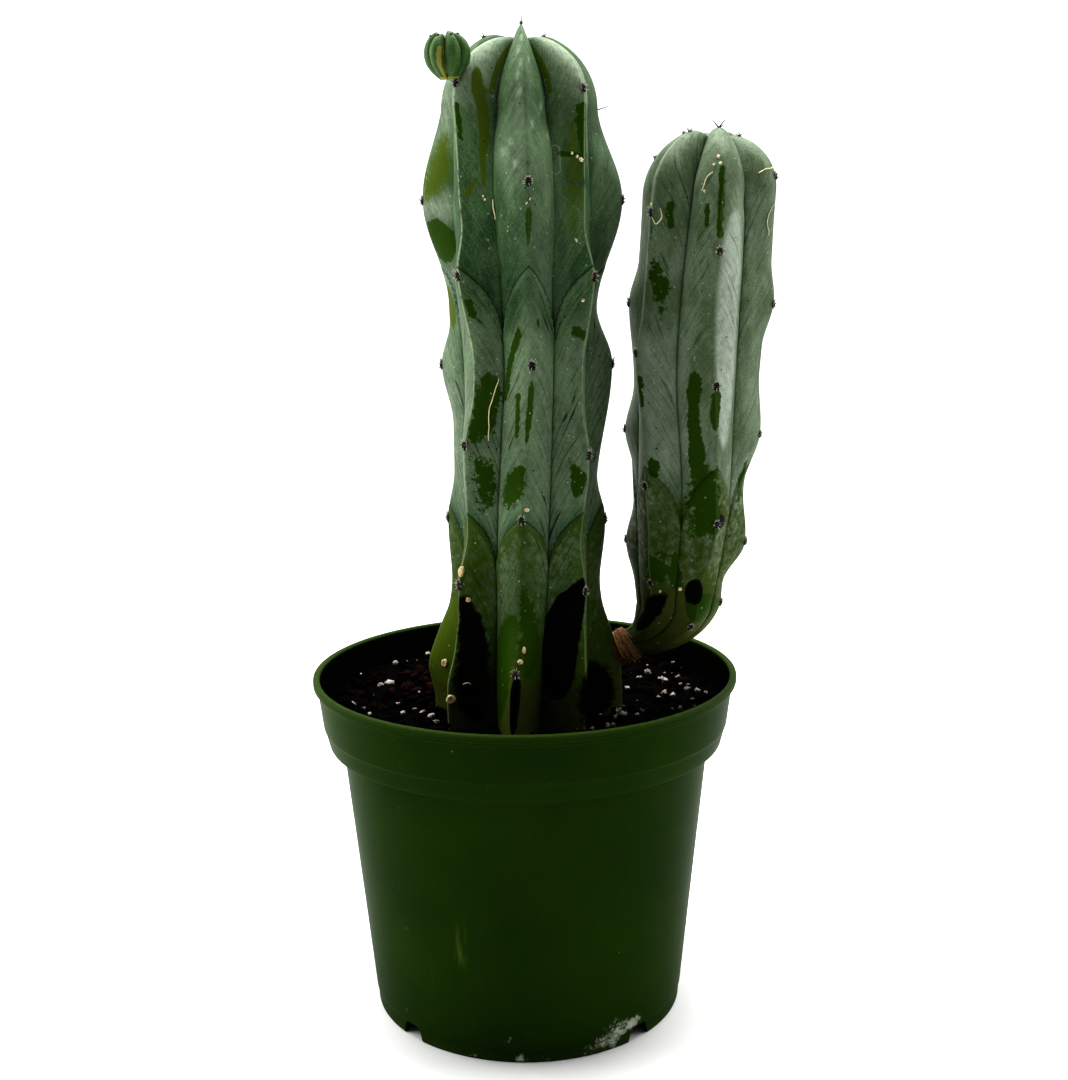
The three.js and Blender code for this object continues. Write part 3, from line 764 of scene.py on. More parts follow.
@dataclass
class RibbedStem:
    """A ribbed stem drawn upright on its own axis and then placed."""

    name: str
    node: str
    ribs: tuple[Rib, ...]
    foot: float
    shoulder: float
    top: float
    pit: float
    crest: Points
    groove: Points
    blunt: Points
    hump_above: float = 17.0
    hump_below: float = 31.0
    growth_lines: tuple[Place, ...] = ()
    growth_step: float = 1.3
    growth_reach: float = 9.0
    growth_cut: float = 0.35
    arch_hook: float = 0.38
    half_steps: int = 14
    crowding: float = 0.11
    ring_gap: float = 0.58
    crest_round: float = 0.07
    dome_power: float = 2.1
    dome_rings: float = 2.2
    pit_from: float = 0.72
    flank_dent: float = 0.07
    groove_cut: float = 0.45
    young_crease: float = 1.0
    fold_shade: float = 0.32
    fold_reach: float = 7.0
    aged_below: float = 0.0
    frost: float = 0.5
    grey: float = 0.3
    veins: float = 1.0
    young_veins: float = 0.75
    vein_rise: float = 24.0
    line_reach: float = 30.0
    rib_width: float = 25.0
    slot: str = "stem_skin"
    strokes: tuple[Stroke, ...] = ()
    patches: tuple[Patch, ...] = ()
    skin: BloomedSkin = field(default_factory=BloomedSkin)

    def place(self, points: Array, level: Array) -> Array:
        """Puts points of the upright stem where the real stem has them."""
        return points

    def dome_share(self, level: Array | float) -> Array:
        """Says how far up the dome a level is: 0 at the shoulder, 1 at the pit in the tip."""
        return np.maximum(0.0, (np.asarray(level, dtype=float) - self.shoulder) / (self.top - self.shoulder))

    def crest_at(self, rib: Rib, level: Array | float) -> tuple[Array, Array]:
        """Follows a rib's crest.

        Args:
            rib: The rib.
            level: Levels from the foot to the top.

        Returns:
            The crest's radius and height at each level.
        """
        share = self.dome_share(level)
        height = np.minimum(level, self.shoulder)
        radius = smooth_line(self.crest, height)
        for areole, stands, *reach in rib.areoles:
            above = reach[0] if reach else self.hump_above
            below = reach[1] if len(reach) > 1 else self.hump_below
            rise = height - areole
            part = np.abs(rise) / np.where(rise > 0, above, below)
            hump = np.where(part < 1, 0.5 * (1 + np.cos(math.pi * part)), 0.0)
            radius = radius + stands * hump * (1 - share)
        round_share = np.cos(np.minimum(share, 1.0) * math.pi / 2)
        lift = (1 - np.clip(round_share, 0, 1) ** self.dome_power) ** (1 / self.dome_power)
        sink = (rib.tip - self.pit) * step_up(self.pit_from, 1.0, share)
        dome = np.where(share > 0, (rib.tip - self.shoulder) * lift - sink, 0.0)
        return radius * np.where(share > 0, round_share, 1.0), height + dome

    def groove_at(self, level: Array | float) -> tuple[Array, Array]:
        """Follows the groove beside a rib.

        Args:
            level: Levels from the foot to the top.

        Returns:
            The groove's radius and height at each level.
        """
        height = np.minimum(level, self.shoulder)
        bend = np.minimum(self.dome_share(level), 1.0) * math.pi / 2
        radius = smooth_line(self.groove, height) * np.clip(np.cos(bend), 0, 1) ** 1.6
        return radius, height + (self.pit - self.shoulder) * np.sin(bend) ** 1.2

    def rib_share(self, offset: Array, blunt: Array) -> Array:
        """Says how far a point of the flank stands between groove (0) and crest (1).

        Args:
            offset: Place on the flank, 0 at the crest and 1 at the groove.
            blunt: 0 for a sharp rib and 1 for a full round one.

        Returns:
            The share for each point.
        """
        sharp = 1 - (1 + self.crest_round) * offset**2 / (offset + self.crest_round)
        slope = sharp - self.flank_dent * np.sin(math.pi * offset)
        return slope + (1 - offset**3.2 - slope) * blunt

    def below_line(self, line: Place, offset: Array, height: Array) -> Array:
        """Says how far points lie below a growth line, given as its crest height and its fall to a groove."""
        bow = (1 - self.arch_hook) * offset**1.15 + self.arch_hook * offset**6
        return line[0] - line[1] * bow - height

    def tier_drop(self, offset: Array, height: Array) -> tuple[Array, Array]:
        """Measures a point's way to the nearest growth lines.

        Args:
            offset: Places on the flank.
            height: Heights on the stem.

        Returns:
            How far below the nearest line over it a point is, and how far above the nearest line under
            it. Both are large where there is none.
        """
        drop = np.full(np.broadcast(offset, height).shape, FAR_OFF)
        rise = drop.copy()
        for line in self.growth_lines:
            below = self.below_line(line, offset, height)
            drop = np.where(below > -2.0, np.minimum(drop, below), drop)
            rise = np.where(below < 0.5, np.minimum(rise, -below), rise)
        return drop, rise

    def surface(self, level: Array, turn: Array) -> tuple[Array, Array, Array]:
        """Gives points of the skin.

        Args:
            level: Levels from the foot to the top.
            turn: Rib counts, 0 on the first crest, of the same shape as level.

        Returns:
            The placed points, the place on the flank and the height on the upright stem.
        """
        count = len(self.ribs)
        turn = np.mod(turn, count)
        low_rib = np.minimum(np.floor(turn).astype(int), count - 1)
        high_rib = (low_rib + 1) % count
        part = turn - low_rib
        crests = [self.crest_at(rib, level) for rib in self.ribs]
        radii, heights = np.stack([crest[0] for crest in crests]), np.stack([crest[1] for crest in crests])
        bearings = np.stack([smooth_line(rib.bearing, height) for rib, height in zip(self.ribs, heights)])
        blunts = np.stack([smooth_line(rib.blunt or self.blunt, level) for rib in self.ribs])
        own = np.where(part < 0.5, low_rib, high_rib)
        offset = np.where(part < 0.5, part, 1 - part) * 2

        def pick(table: Array, index: Array) -> Array:
            """Reads each column's own row of a table."""
            return np.take_along_axis(table, index[None], axis=0)[0]

        groove_radius, groove_height = self.groove_at(level)
        share = self.rib_share(offset, pick(blunts, own))
        height = groove_height + (pick(heights, own) - groove_height) * share
        drop = self.tier_drop(offset, height)[0]
        fall = np.exp(-np.maximum(drop, 0) / self.growth_reach)
        step = self.growth_step * step_up(-0.3, 1.0, drop) * fall * np.sqrt(offset)
        cut = self.groove_cut * self.crease_at(height) * bell(1 - offset, 0.045)
        cut = cut + self.growth_cut * bell(drop, 0.7) * step_up(0.0, 0.3, offset)
        fade = 1 - 0.7 * step_up(0.5, 1.0, self.dome_share(level))
        radius = groove_radius + (pick(radii, own) - groove_radius) * share + step - cut * fade
        low_bearing = pick(bearings, low_rib)
        high_bearing = pick(bearings, high_rib) + np.where(low_rib == count - 1, 360.0, 0.0)
        angle = np.radians(low_bearing + (high_bearing - low_bearing) * part)
        radius = np.maximum(radius, 0.05)
        points = np.stack([radius * np.sin(angle), -radius * np.cos(angle), height], axis=-1)
        return self.place(points, level), offset, height

    def levels(self) -> Array:
        """Lists the levels of the rings, closer together on the dome."""
        body = np.linspace(self.foot + 0.5, self.shoulder, int((self.shoulder - self.foot) / self.ring_gap))
        dome = np.linspace(self.shoulder, self.top - 0.4, int((self.top - self.shoulder) * self.dome_rings))
        return np.concatenate([body, dome[1:]])

    def turns(self) -> Array:
        """Lists the rib counts of the columns, closer together at crests and grooves."""
        share = np.arange(self.half_steps) / self.half_steps
        half = (share - self.crowding * np.sin(2 * math.pi * share)) / 2
        return np.concatenate([half + index / 2 for index in range(2 * len(self.ribs))])

    def across(self, turn: Array, start: float) -> Array:
        """Says how many mm to the right of a start, given as a rib count, points lie."""
        count = len(self.ribs)
        return (np.mod(turn - start + count / 2, count) - count / 2) * self.rib_width

    def painted(self, turn: Array, height: Array) -> dict[str, Array]:
        """Works out how strongly each kind of mark lies on each point.

        Args:
            turn: Rib counts of the points.
            height: Their heights on the stem.

        Returns:
            For each kind of mark a value a point: 1 inside, 0.5 at the edge, 0 a width away.
        """
        fields = {mark.value: np.zeros(turn.shape) for mark in Mark}
        for stroke in self.strokes:
            best = np.full(turn.shape, FAR_OFF)
            for (u0, z0), (u1, z1) in zip(stroke.places, stroke.places[1:]):
                end = ((u1 - u0) * self.rib_width, z1)
                best = np.minimum(best, run_distance(self.across(turn, u0), height, (0.0, z0), end))
            value = np.clip(1 - best / stroke.width, 0, 1) * stroke.strength
            fields[stroke.mark.value] = np.maximum(fields[stroke.mark.value], value)
        for patch in self.patches:
            depth = self.depth_in(patch, turn, height)
            value = np.clip(0.5 + depth / (2 * patch.soft), 0, 1) * patch.strength
            fields[patch.mark.value] = np.maximum(fields[patch.mark.value], value)
        return fields

    def depth_in(self, patch: Patch, turn: Array, height: Array) -> Array:
        """Measures how deep points lie in a patch.

        Args:
            patch: The patch. Its corners are cut twice, which rounds them.
            turn: Rib counts of the points.
            height: Their heights.

        Returns:
            Their way to its edge in mm, negative outside it.
        """
        first = patch.corners[0][0]
        outline = np.array([((u - first) * self.rib_width, z) for u, z in patch.corners])
        for _ in range(2):
            after = np.roll(outline, -1, axis=0)
            cuts = [0.75 * outline + 0.25 * after, 0.25 * outline + 0.75 * after]
            outline = np.stack(cuts, 1).reshape(-1, 2)
        across = self.across(turn, first)
        far = np.full(turn.shape, FAR_OFF)
        inside = np.zeros(turn.shape, dtype=bool)
        for start, end in zip(outline, np.roll(outline, -1, axis=0)):
            far = np.minimum(far, run_distance(across, height, start, end))
            run_x, run_z = end - start
            if abs(run_z) > 1e-9:
                crossed = (height < start[1]) != (height < end[1])
                inside ^= crossed & (across < start[0] + run_x * (height - start[1]) / run_z)
        return np.where(inside, far, -far)

    def build_flesh(self) -> None:
        """Builds the stem's skin as one closed mesh with the fields its finish reads."""
        level, turn = np.meshgrid(self.levels(), self.turns(), indexing="ij")
        points, offset, height = self.surface(level, turn)
        rings, columns = level.shape
        flat = points.reshape(-1, 3)
        ends = [flat[:columns].mean(axis=0), flat[-columns:].mean(axis=0)]
        fields = self.painted(turn, height)
        for key, lines in {"arch_high": self.growth_lines[:-1], "arch_low": self.growth_lines[-1:]}.items():
            below = self.below_line(lines[0], offset, height) if lines else np.full(height.shape, FAR_OFF)
            fields[key] = np.clip(below, -self.line_reach, self.line_reach)
        rise = self.tier_drop(offset, height)[1]
        fold = np.exp(-np.maximum(rise, 0) / self.fold_reach) * (rise > 0) * step_up(0.0, 0.4, offset)
        fields["fold"] = self.fold_shade * fold
        # Painted highlight along each crest, stronger high up
        edges = np.array([rib.edge for rib in self.ribs])[np.mod(np.rint(turn).astype(int), len(self.ribs))]
        fields["edge"] = edges * (0.45 + 0.4 * step_up(190, 260, height))
        fields["crease"] = self.crease_at(height)
        fields["flank"] = offset
        fields["vein"] = height - self.vein_rise * (1 - offset) ** 0.7
        fields["veined"] = self.veined_at(height)
        young = self.frost * step_up(self.shoulder - 22, self.shoulder + 8, height)
        fields["frost"] = np.maximum(fields["frost"], np.maximum(young, self.grey_at(offset, height)))
        fields["seed"] = np.floor(turn * 2 + 1e-6)
        fields["aged"] = np.maximum(fields["aged"], self.age_at(offset, height))
        wide = {key: np.append(value.reshape(-1), [0.0, 0.0]) for key, value in fields.items()}
        piece = add_mesh(self.name, np.concatenate([flat, ends]), closed_faces(rings, columns), wide)
        settle(piece, self.node, self.skin.build())

    def crease_at(self, height: Array) -> Array:
        """Says how sharp the grooves are and how dark their painted shade is: less so from the top growth
        line to the dome.
        """
        low = self.growth_lines[0][0] if self.growth_lines else self.foot
        dome = step_up(self.shoulder - 2, self.shoulder + 7, height)
        return 1 - (1 - self.young_crease) * step_up(low - 22, low + 8, height) * (1 - dome)

    def veined_at(self, height: Array) -> Array:
        """Says how clearly the veins show: faintly on the youngest growth, well on the older."""
        if not self.growth_lines:
            return np.zeros(height.shape)
        newest = self.growth_lines[0][0]
        return self.veins - self.young_veins * step_up(newest - 25, newest + 5, height)

    def grey_at(self, offset: Array, height: Array) -> Array:
        """Says how much greyer the bloom is between the two growth lines, where it is older and thicker."""
        if len(self.growth_lines) < 2:
            return np.zeros(height.shape)
        below, above = (self.below_line(line, offset, height) for line in self.growth_lines)
        return self.grey * step_up(2.0, 22.0, below) * step_up(0.0, 6.0, -above)

    def age_at(self, offset: Array, height: Array) -> Array:
        """Says how weathered the skin is: 0 high up, rising below the lowest growth line."""
        if not self.growth_lines:
            return np.zeros(height.shape)
        lowest = self.growth_lines[-1]
        below = step_up(0.0, 3.0, self.below_line(lowest, offset, height)) * 0.6
        return below + 0.35 * step_up(lowest[0] - 30, self.aged_below, height)

    def seat(self, rib_index: int, areole: float) -> tuple[Array, Array]:
        """Finds where an areole sits.

        Args:
            rib_index: The rib's number.
            areole: The areole's height.

        Returns:
            Its middle on the crest, and the rows side, up and outward of its frame.
        """
        level = np.linspace(self.foot + 1, self.top - 0.5, 2400)
        height = self.crest_at(self.ribs[rib_index], level)[1]
        rising = slice(0, int(np.argmax(height)) + 1)
        best = level[rising][int(np.argmin(np.abs(height[rising] - areole)))]
        near = np.array([best - 0.6, best, best + 0.6])
        points = self.surface(near, np.full(3, float(rib_index)))[0]
        side = self.surface(np.full(2, best), np.array([rib_index - 0.15, rib_index + 0.15]))[0]
        run = points[2] - points[0]
        return points[1], frame_of(np.cross(side[1] - side[0], run), run)


# Wool and spines


def add_spine(
    clump: Clump, root: Array, way: Array, length: float, width: float, pale: float, root_pale: float = 0.0
) -> None:
    """Adds one curved spine or tuft of wool.

    Args:
        clump: Where it goes.
        root: Its root.
        way: Its direction.
        length: Its length in mm.
        width: Its width at the root in mm.
        pale: How pale its point is.
        root_pale: How pale its root is.
    """
    share = np.linspace(0, 1, 6)
    path = root + unit(way) * (share[:, None] * length - 0.5)
    path[:, 2] += 0.1 * length * share**2
    points, faces = tube(path, width / 2 * (1 - share) ** 0.75 + 0.03, 6)
    tone = np.append(np.repeat(root_pale + (pale - root_pale) * share, 6), [root_pale, pale])
    clump.add(points, faces, pale=tone)


@dataclass
class Areoles:
    """The wool pads along a stem's crests, each with pale tufts round its top and a few short spines.

    A tip spine is its lean to the right in degrees, its length and its paleness, and a stray one is
    its place on the stem, its lean and its length.
    """

    stem: RibbedStem
    pad_radius: float = 1.15
    spine_length: float = 2.8
    lowest: float = 132.0
    tufts: int = 13
    fan_from: float = -35.0
    fan_sweep: float = 250.0
    tip_spines: tuple[Spot, ...] = ()
    stray: tuple[tuple[float, float, float, float], ...] = ()
    seed: int = 3

    def build(self, wool: Material, horn: Material) -> None:
        """Builds all pads as one piece, and all tufts and spines as another.

        Args:
            wool: Finish of the pads.
            horn: Finish of the spines.
        """
        draw = np.random.default_rng(self.seed)
        pads, spines = Clump(), Clump()
        corners, faces = ball(7, 12)
        for index, rib in enumerate(self.stem.ribs):
            for areole in [entry[0] for entry in rib.areoles if entry[0] >= self.lowest]:
                middle, axes = self.stem.seat(index, areole)
                tip = areole > self.stem.shoulder + 8
                size = self.pad_radius * (0.9 + 0.2 * draw.random()) * (0.55 if tip else 1.0)
                shape = corners * np.array((size, size * 1.4, size * 0.55))
                shape *= 1 + 0.12 * ripple(corners * 6, 3.0, index * 31 + int(areole))[:, None]
                pads.add(shape @ axes + middle, faces)
                if tip and index == 0:
                    for lean, length, pale in self.tip_spines:
                        self.add_leaning(spines, middle, lean, length, pale)
                else:
                    self.add_spines(spines, middle, axes, size, draw)
        for turn, height, lean, length in self.stray:
            root = self.stem.surface(np.full(1, height), np.full(1, turn))[0][0]
            self.add_leaning(spines, root, lean, length, 0.6)
        settle(pads.build(self.stem.name + "_wool"), self.stem.node, wool)
        settle(spines.build(self.stem.name + "_spines"), self.stem.node, horn)

    def add_leaning(self, spines: Clump, root: Array, lean: float, length: float, pale: float) -> None:
        """Adds a long spine that stands up from its root and leans to the right by lean degrees."""
        turn = math.radians(lean)
        add_spine(spines, root, np.array((math.sin(turn), -0.15, math.cos(turn))), length, 0.5, pale)

    def add_spines(
        self, spines: Clump, middle: Array, axes: Array, size: float, draw: np.random.Generator
    ) -> None:
        """Adds the tufts and spines of one areole.

        Args:
            spines: Where they go.
            middle: The areole's middle.
            axes: Its side, up and outward directions.
            size: Its pad's radius.
            draw: The source of chance.
        """
        for number in range(self.tufts):
            turn = math.radians(self.fan_from + self.fan_sweep * (number + 0.7 * draw.random()) / self.tufts)
            flat = np.array((math.cos(turn), math.sin(turn), 0.0))
            root = middle + (flat * np.array((0.85, 1.25, 0.0)) * size) @ axes
            way = flat + np.array((-flat[1], flat[0], 0.0)) * draw.uniform(-0.9, 0.9) + np.array((0, 0, 0.7))
            add_spine(spines, root, way @ axes, size * draw.uniform(1.0, 1.7), 0.38, 1.0, 0.75)
        for _ in range(3):
            way = np.array((draw.uniform(-0.5, 0.5), -1.0, 0.7))
            root = middle + (np.array((way[0], -1.2, 0.0)) * size) @ axes
            add_spine(spines, root, way @ axes, size * 0.8, 0.3, 0.9, 0.6)
        for side in (-1, 1):
            way = np.array((side, draw.uniform(-0.1, 0.5), 0.6))
            add_spine(spines, middle, way @ axes, self.spine_length * draw.uniform(0.9, 1.2), 0.42, 0.3)
        down = np.array((0.2 * draw.normal(), -0.9, 0.8))
        add_spine(spines, middle, down @ axes, self.spine_length * draw.uniform(0.8, 1.1), 0.45, 0.9)


@dataclass
class MainStem(RibbedStem):
    """The tall stem."""

    axis_x: float = 1.0
    axis_y: float = -16.0

    def place(self, points: Array, level: Array) -> Array:
        """Stands the stem on its spot in the soil."""
        return points + np.array((self.axis_x, self.axis_y, 0.0))


@dataclass
class SideStem(RibbedStem):
    """The shorter stem, leaning outwards and bent out of its neck."""

    depth: float = -12.0
    bend_top: float = 150.0
    bend_length: float = 24.0
    bend_angle: float = 59.0
    pivot_x: float = 28.8
    pivot_z: float = 150.0
    inner_radius: float = 10.5
    lean: float = 0.064
    foot_x: float = 54.2
    neck_radius: float = 5.5

    def place(self, points: Array, level: Array) -> Array:
        """Leans the stem and bends its foot round a pivot beside the main stem.

        Args:
            points: Points of the upright stem.
            level: The level of each.

        Returns:
            The placed points.
        """
        x, y, z = points[..., 0], points[..., 1], points[..., 2]
        leaning = self.foot_x + self.lean * (z - self.bend_top) + x
        share = (self.bend_top - z) / self.bend_length
        half = self.foot_x - self.pivot_x - self.inner_radius
        reach = self.inner_radius + half + (self.neck_radius - half) * share + x
        angle = np.radians(self.bend_angle * share)
        upright = level >= self.bend_top
        placed_x = np.where(upright, leaning, self.pivot_x + reach * np.cos(angle))
        placed_z = np.where(upright, z, self.pivot_z - reach * np.sin(angle))
        return np.stack([placed_x, self.depth + y, placed_z], axis=-1)


@dataclass
class YoungOffset(RibbedStem):
    """The small round offset on the upper left areole of the main stem."""

    base: tuple[float, ...] = (0.0, 0.0, 0.0)
    tilt_x: float = 0.1
    tilt_y: float = -0.06

    def place(self, points: Array, level: Array) -> Array:
        """Tilts the offset and sets it on its areole."""
        turn = np.array(Matrix.Rotation(self.tilt_x, 3, "X") @ Matrix.Rotation(self.tilt_y, 3, "Y"))
        return points @ turn.T + np.array(self.base)


# The plant's own measures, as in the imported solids


def main_stem() -> MainStem:
    """Gives the tall stem its seven ribs and its marks."""
    full_shoulder = ((84, 0), (290, 0), (318, 0.5), (332, 0.95))
    drops = (
        (-0.03, 339, 1.0), (-0.08, 335, 1.2), (-0.05, 331, 1.1), (-0.1, 327, 1.3), (-0.07, 322, 1.2),
        (0.1, 332, 1.0), (-0.2, 307, 1.0), (-0.12, 300, 1.4), (0.1, 312, 1.1), (0.42, 309, 1.2),
        (-0.28, 304, 1.7), (0.3, 318, 1.2),
    )
    ribs = (
        Rib(
            ((112, -9), (150, -6), (186, -3), (237, 5), (294, 3.6), (343, 3)),
            ((344, 0), (293.9, 6, 32), (236.9, 4.4), (186.4, 3.2), (135.5, 1)), 345.5, ((84, 0), (348, 0.1)),
            edge=0.06,
        ),
        Rib(
            ((112, 34), (150, 41), (206, 50), (323, 49)),
            ((323, 1.2), (264.3, 4.4), (206.3, 2.7), (160.9, 3)), 341.2, full_shoulder, edge=0.55,
        ),
        Rib(
            ((112, 88), (160, 96), (240, 101)),
            ((341, 0), (289, 7.8, 32, 36), (234.4, 5.8, 20, 46), (181, 2.8, 17, 26)), 342.4,
        ),
        Rib(((112, 146), (200, 152)), ((318, 1.4), (263, 4.4), (209, 2.8), (160, 2.6)), 342.0),
        Rib(((112, 204), (200, 206)), ((321, 1.4), (266, 4.4), (212, 2.8), (161, 2.6)), 343.6),
        Rib(
            ((112, 262), (240, 259)),
            ((341, 0), (289.4, 7.2, 38, 34), (234.8, 3.4, 15, 20), (182, 2.2, 17, 34), (130, 2.4, 36, 14)),
            343.4,
        ),
        Rib(
            ((112, 306.5), (163, 307), (210, 314), (238, 320), (265, 316), (300, 310), (325, 307.6)),
            ((325.1, 1.2), (265.1, 4.2), (210.2, 2.7), (162.8, 3), (125, 1)), 341.2, full_shoulder, edge=0.75,
        ),
    )
    strokes = (
        Stroke(FROST, 17, ((-1.0, 343), (-0.95, 330)), 0.95),
        Stroke(FROST, 15, ((1.0, 343), (1.05, 328)), 0.9),
        Stroke(FROST, 11, ((1.95, 303), (1.9, 278)), 0.32),
        Stroke(FROST, 14, ((0.22, 306), (0.25, 262)), 0.24),
        Stroke(FROST, 12, ((-1.9, 330), (-1.8, 316)), 0.5),
        Stroke(FROST, 8, ((-1.98, 287), (-1.6, 287)), 0.6),
        Stroke(FROST, 9, ((-1.98, 265), (-1.6, 264)), 0.5),
        Stroke(FROST, 12, ((-1.9, 240), (-1.85, 205)), 0.45),
        Stroke(FROST, 10, ((-0.05, 330), (-0.05, 296)), 0.3),
        Stroke(FROST, 7, ((-0.3, 312), (-0.28, 302)), 0.3),
        Stroke(BARE, 1.4, ((0.61, 303), (1.08, 302))),
        Stroke(BARE, 1.5, ((-0.95, 318), (-0.93, 308))),
        Stroke(BARE, 2.2, ((-0.92, 257), (-0.9, 253))),
        Stroke(BARE, 3.0, ((0.84, 247), (0.95, 246))),
        Stroke(BARE, 1.8, ((-0.2, 227), (-0.17, 214))),
        Stroke(AGED, 6, ((0.2, 130), (0.23, 115))),
        Stroke(AGED, 8, ((-0.81, 118), (-0.66, 113))),
        Stroke(AGED, 11, ((0.74, 123), (0.78, 113))),
        Stroke(AGED, 13, ((-1.88, 128), (-1.9, 117)), 0.9),
        Stroke(GLOW, 1.3, ((0.53, 341), (0.56, 322))),
        Stroke(GLOW, 1.3, ((-0.53, 341), (-0.56, 322))),
        Stroke(RING, 1.7, ((0.55, 304), (0.55, 298)), 0.9),
        *(Stroke(FROST, size, ((u, z), (u, z - 1.4)), 0.95) for u, z, size in drops),
    )
    patches = (
        Patch(GLOW, (
            (-0.78, 331), (-0.66, 327), (-0.58, 316), (-0.56, 306), (-0.61, 302), (-0.6, 293), (-0.68, 292),
            (-0.69, 306), (-0.7, 316), (-0.81, 327),
        ), 0.8),
        Patch(GLOW, ((-0.67, 297), (-0.86, 290), (-0.95, 290), (-0.88, 293)), 0.8),
        Patch(GLOW, ((0.58, 315), (0.98, 319), (1.1, 311), (1.1, 279), (0.68, 271), (0.52, 290)), 9, 0.62),
        Patch(GLOW, ((-1.83, 313), (-1.58, 307), (-1.5, 296), (-1.84, 288), (-2.02, 291)), 7, 0.9),
        Patch(BARE, ((-1.92, 284), (-1.67, 283), (-1.48, 278), (-1.54, 271), (-1.86, 268), (-2.0, 277)), 1.6),
        Patch(GLOW, ((-1.85, 264), (-1.58, 251), (-1.84, 246), (-2.0, 255))),
        Patch(BARE, ((0.86, 318), (0.98, 319), (1.1, 316), (1.05, 303), (0.95, 300), (0.9, 306))),
        # Dark strip under an areole of the front rib: painted shade under its hump, with rubbed bloom
        Patch(BARE, ((-0.05, 286), (0.05, 286), (0.03, 279), (-0.02, 272)), 0.8),
        Patch(BARE, (
            (-0.2, 250), (-0.14, 248), (-0.16, 244), (-0.31, 238), (-0.4, 225), (-0.51, 225), (-0.45, 235),
        )),
        Patch(BARE, ((0.09, 254), (0.17, 251), (0.18, 247), (0.12, 248)), 0.8),
        Patch(BARE, ((-1.0, 236), (-0.61, 234), (-0.5, 226), (-0.6, 213), (-1.0, 208)), 2.4, 0.72),
        # Dark strip under an areole of the front rib: painted shade under its hump, with rubbed bloom
        Patch(BARE, ((-0.05, 232), (0.05, 232), (0.03, 213), (-0.04, 211)), 1.0),
        Patch(BARE, ((-1.0, 210), (-0.65, 207), (-0.48, 200), (-0.53, 190), (-0.83, 185)), 4.5, 0.7),
        Patch(BARE, ((-0.36, 203), (0.03, 206), (0.05, 192), (-0.42, 187)), 3.5, 0.8),
        Patch(BARE, ((0.76, 206), (0.87, 202), (0.98, 201), (0.98, 195), (0.82, 191), (0.75, 204)), 1.5),
        Patch(WET, (
            (-1.02, 160), (-0.87, 158), (-0.66, 149), (-0.62, 137), (-0.58, 120), (-0.7, 114), (-0.9, 120),
            (-0.97, 144),
        ), 4.0),
        Patch(WET, (
            (1.02, 167), (0.79, 162), (0.6, 158), (0.43, 147), (0.44, 130), (0.6, 124), (0.84, 125),
            (0.93, 145), (1.0, 154),
        )),
        Patch(BARE, (
            (-0.02, 156), (-0.28, 152), (-0.47, 145), (-0.5, 130), (-0.5, 116), (-0.29, 116), (-0.12, 124),
            (-0.08, 136), (0.0, 142),
        )),
        Patch(FROST, ((-0.03, 178), (-0.45, 172), (-0.48, 148), (-0.05, 156)), 7, 0.26),
        Patch(FROST, ((0.1, 180), (0.5, 174), (0.9, 180), (0.92, 170), (0.5, 162), (0.42, 148)), 8, 0.22),
        Patch(BARE, ((-0.02, 165), (0.16, 162), (0.39, 145), (0.33, 138), (0.19, 132), (0.08, 136)), 2.5),
        Patch(WET, ((-0.05, 135), (0.07, 135), (0.08, 127), (0.03, 115), (-0.05, 115)), 0.8),
        Patch(GLOW, ((-1.99, 155), (-1.7, 154), (-1.06, 146), (-1.04, 130), (-1.83, 121), (-1.99, 128)), 3.5),
        Patch(AGED, ((0.94, 146), (1.92, 140), (1.94, 129), (1.61, 133), (0.94, 140)), 5),
        # Painted shadow low on the right flank, near the soil and the neck
        Patch(WET, ((0.94, 138), (1.61, 133), (1.86, 130), (1.9, 112), (0.96, 112)), 4),
    )
    return MainStem(
        name="main_stem_flesh", node="main_stem", young_crease=0.3, foot=84.0, shoulder=318.0, top=348.0,
        pit=340.0, aged_below=118.0, frost=0.12, ribs=ribs, strokes=strokes, patches=patches,
        crest=(
            (84, 8), (92, 22), (102, 30), (114, 33.2), (128, 33), (142, 29.6), (153, 26.4), (164, 25.4),
            (205, 24.8), (262, 25.6), (290, 26.6), (318, 25.8),
        ),
        groove=(
            (84, 7), (92, 15), (104, 19.5), (125, 21), (160, 20.6), (205, 20.8), (262, 21.2), (285, 23.2),
            (303, 22), (318, 18),
        ),
        blunt=((84, 0), (290, 0), (318, 0.3), (348, 0.8)),
        growth_lines=((268.0, 22.0), (187.0, 17.0)),
    )


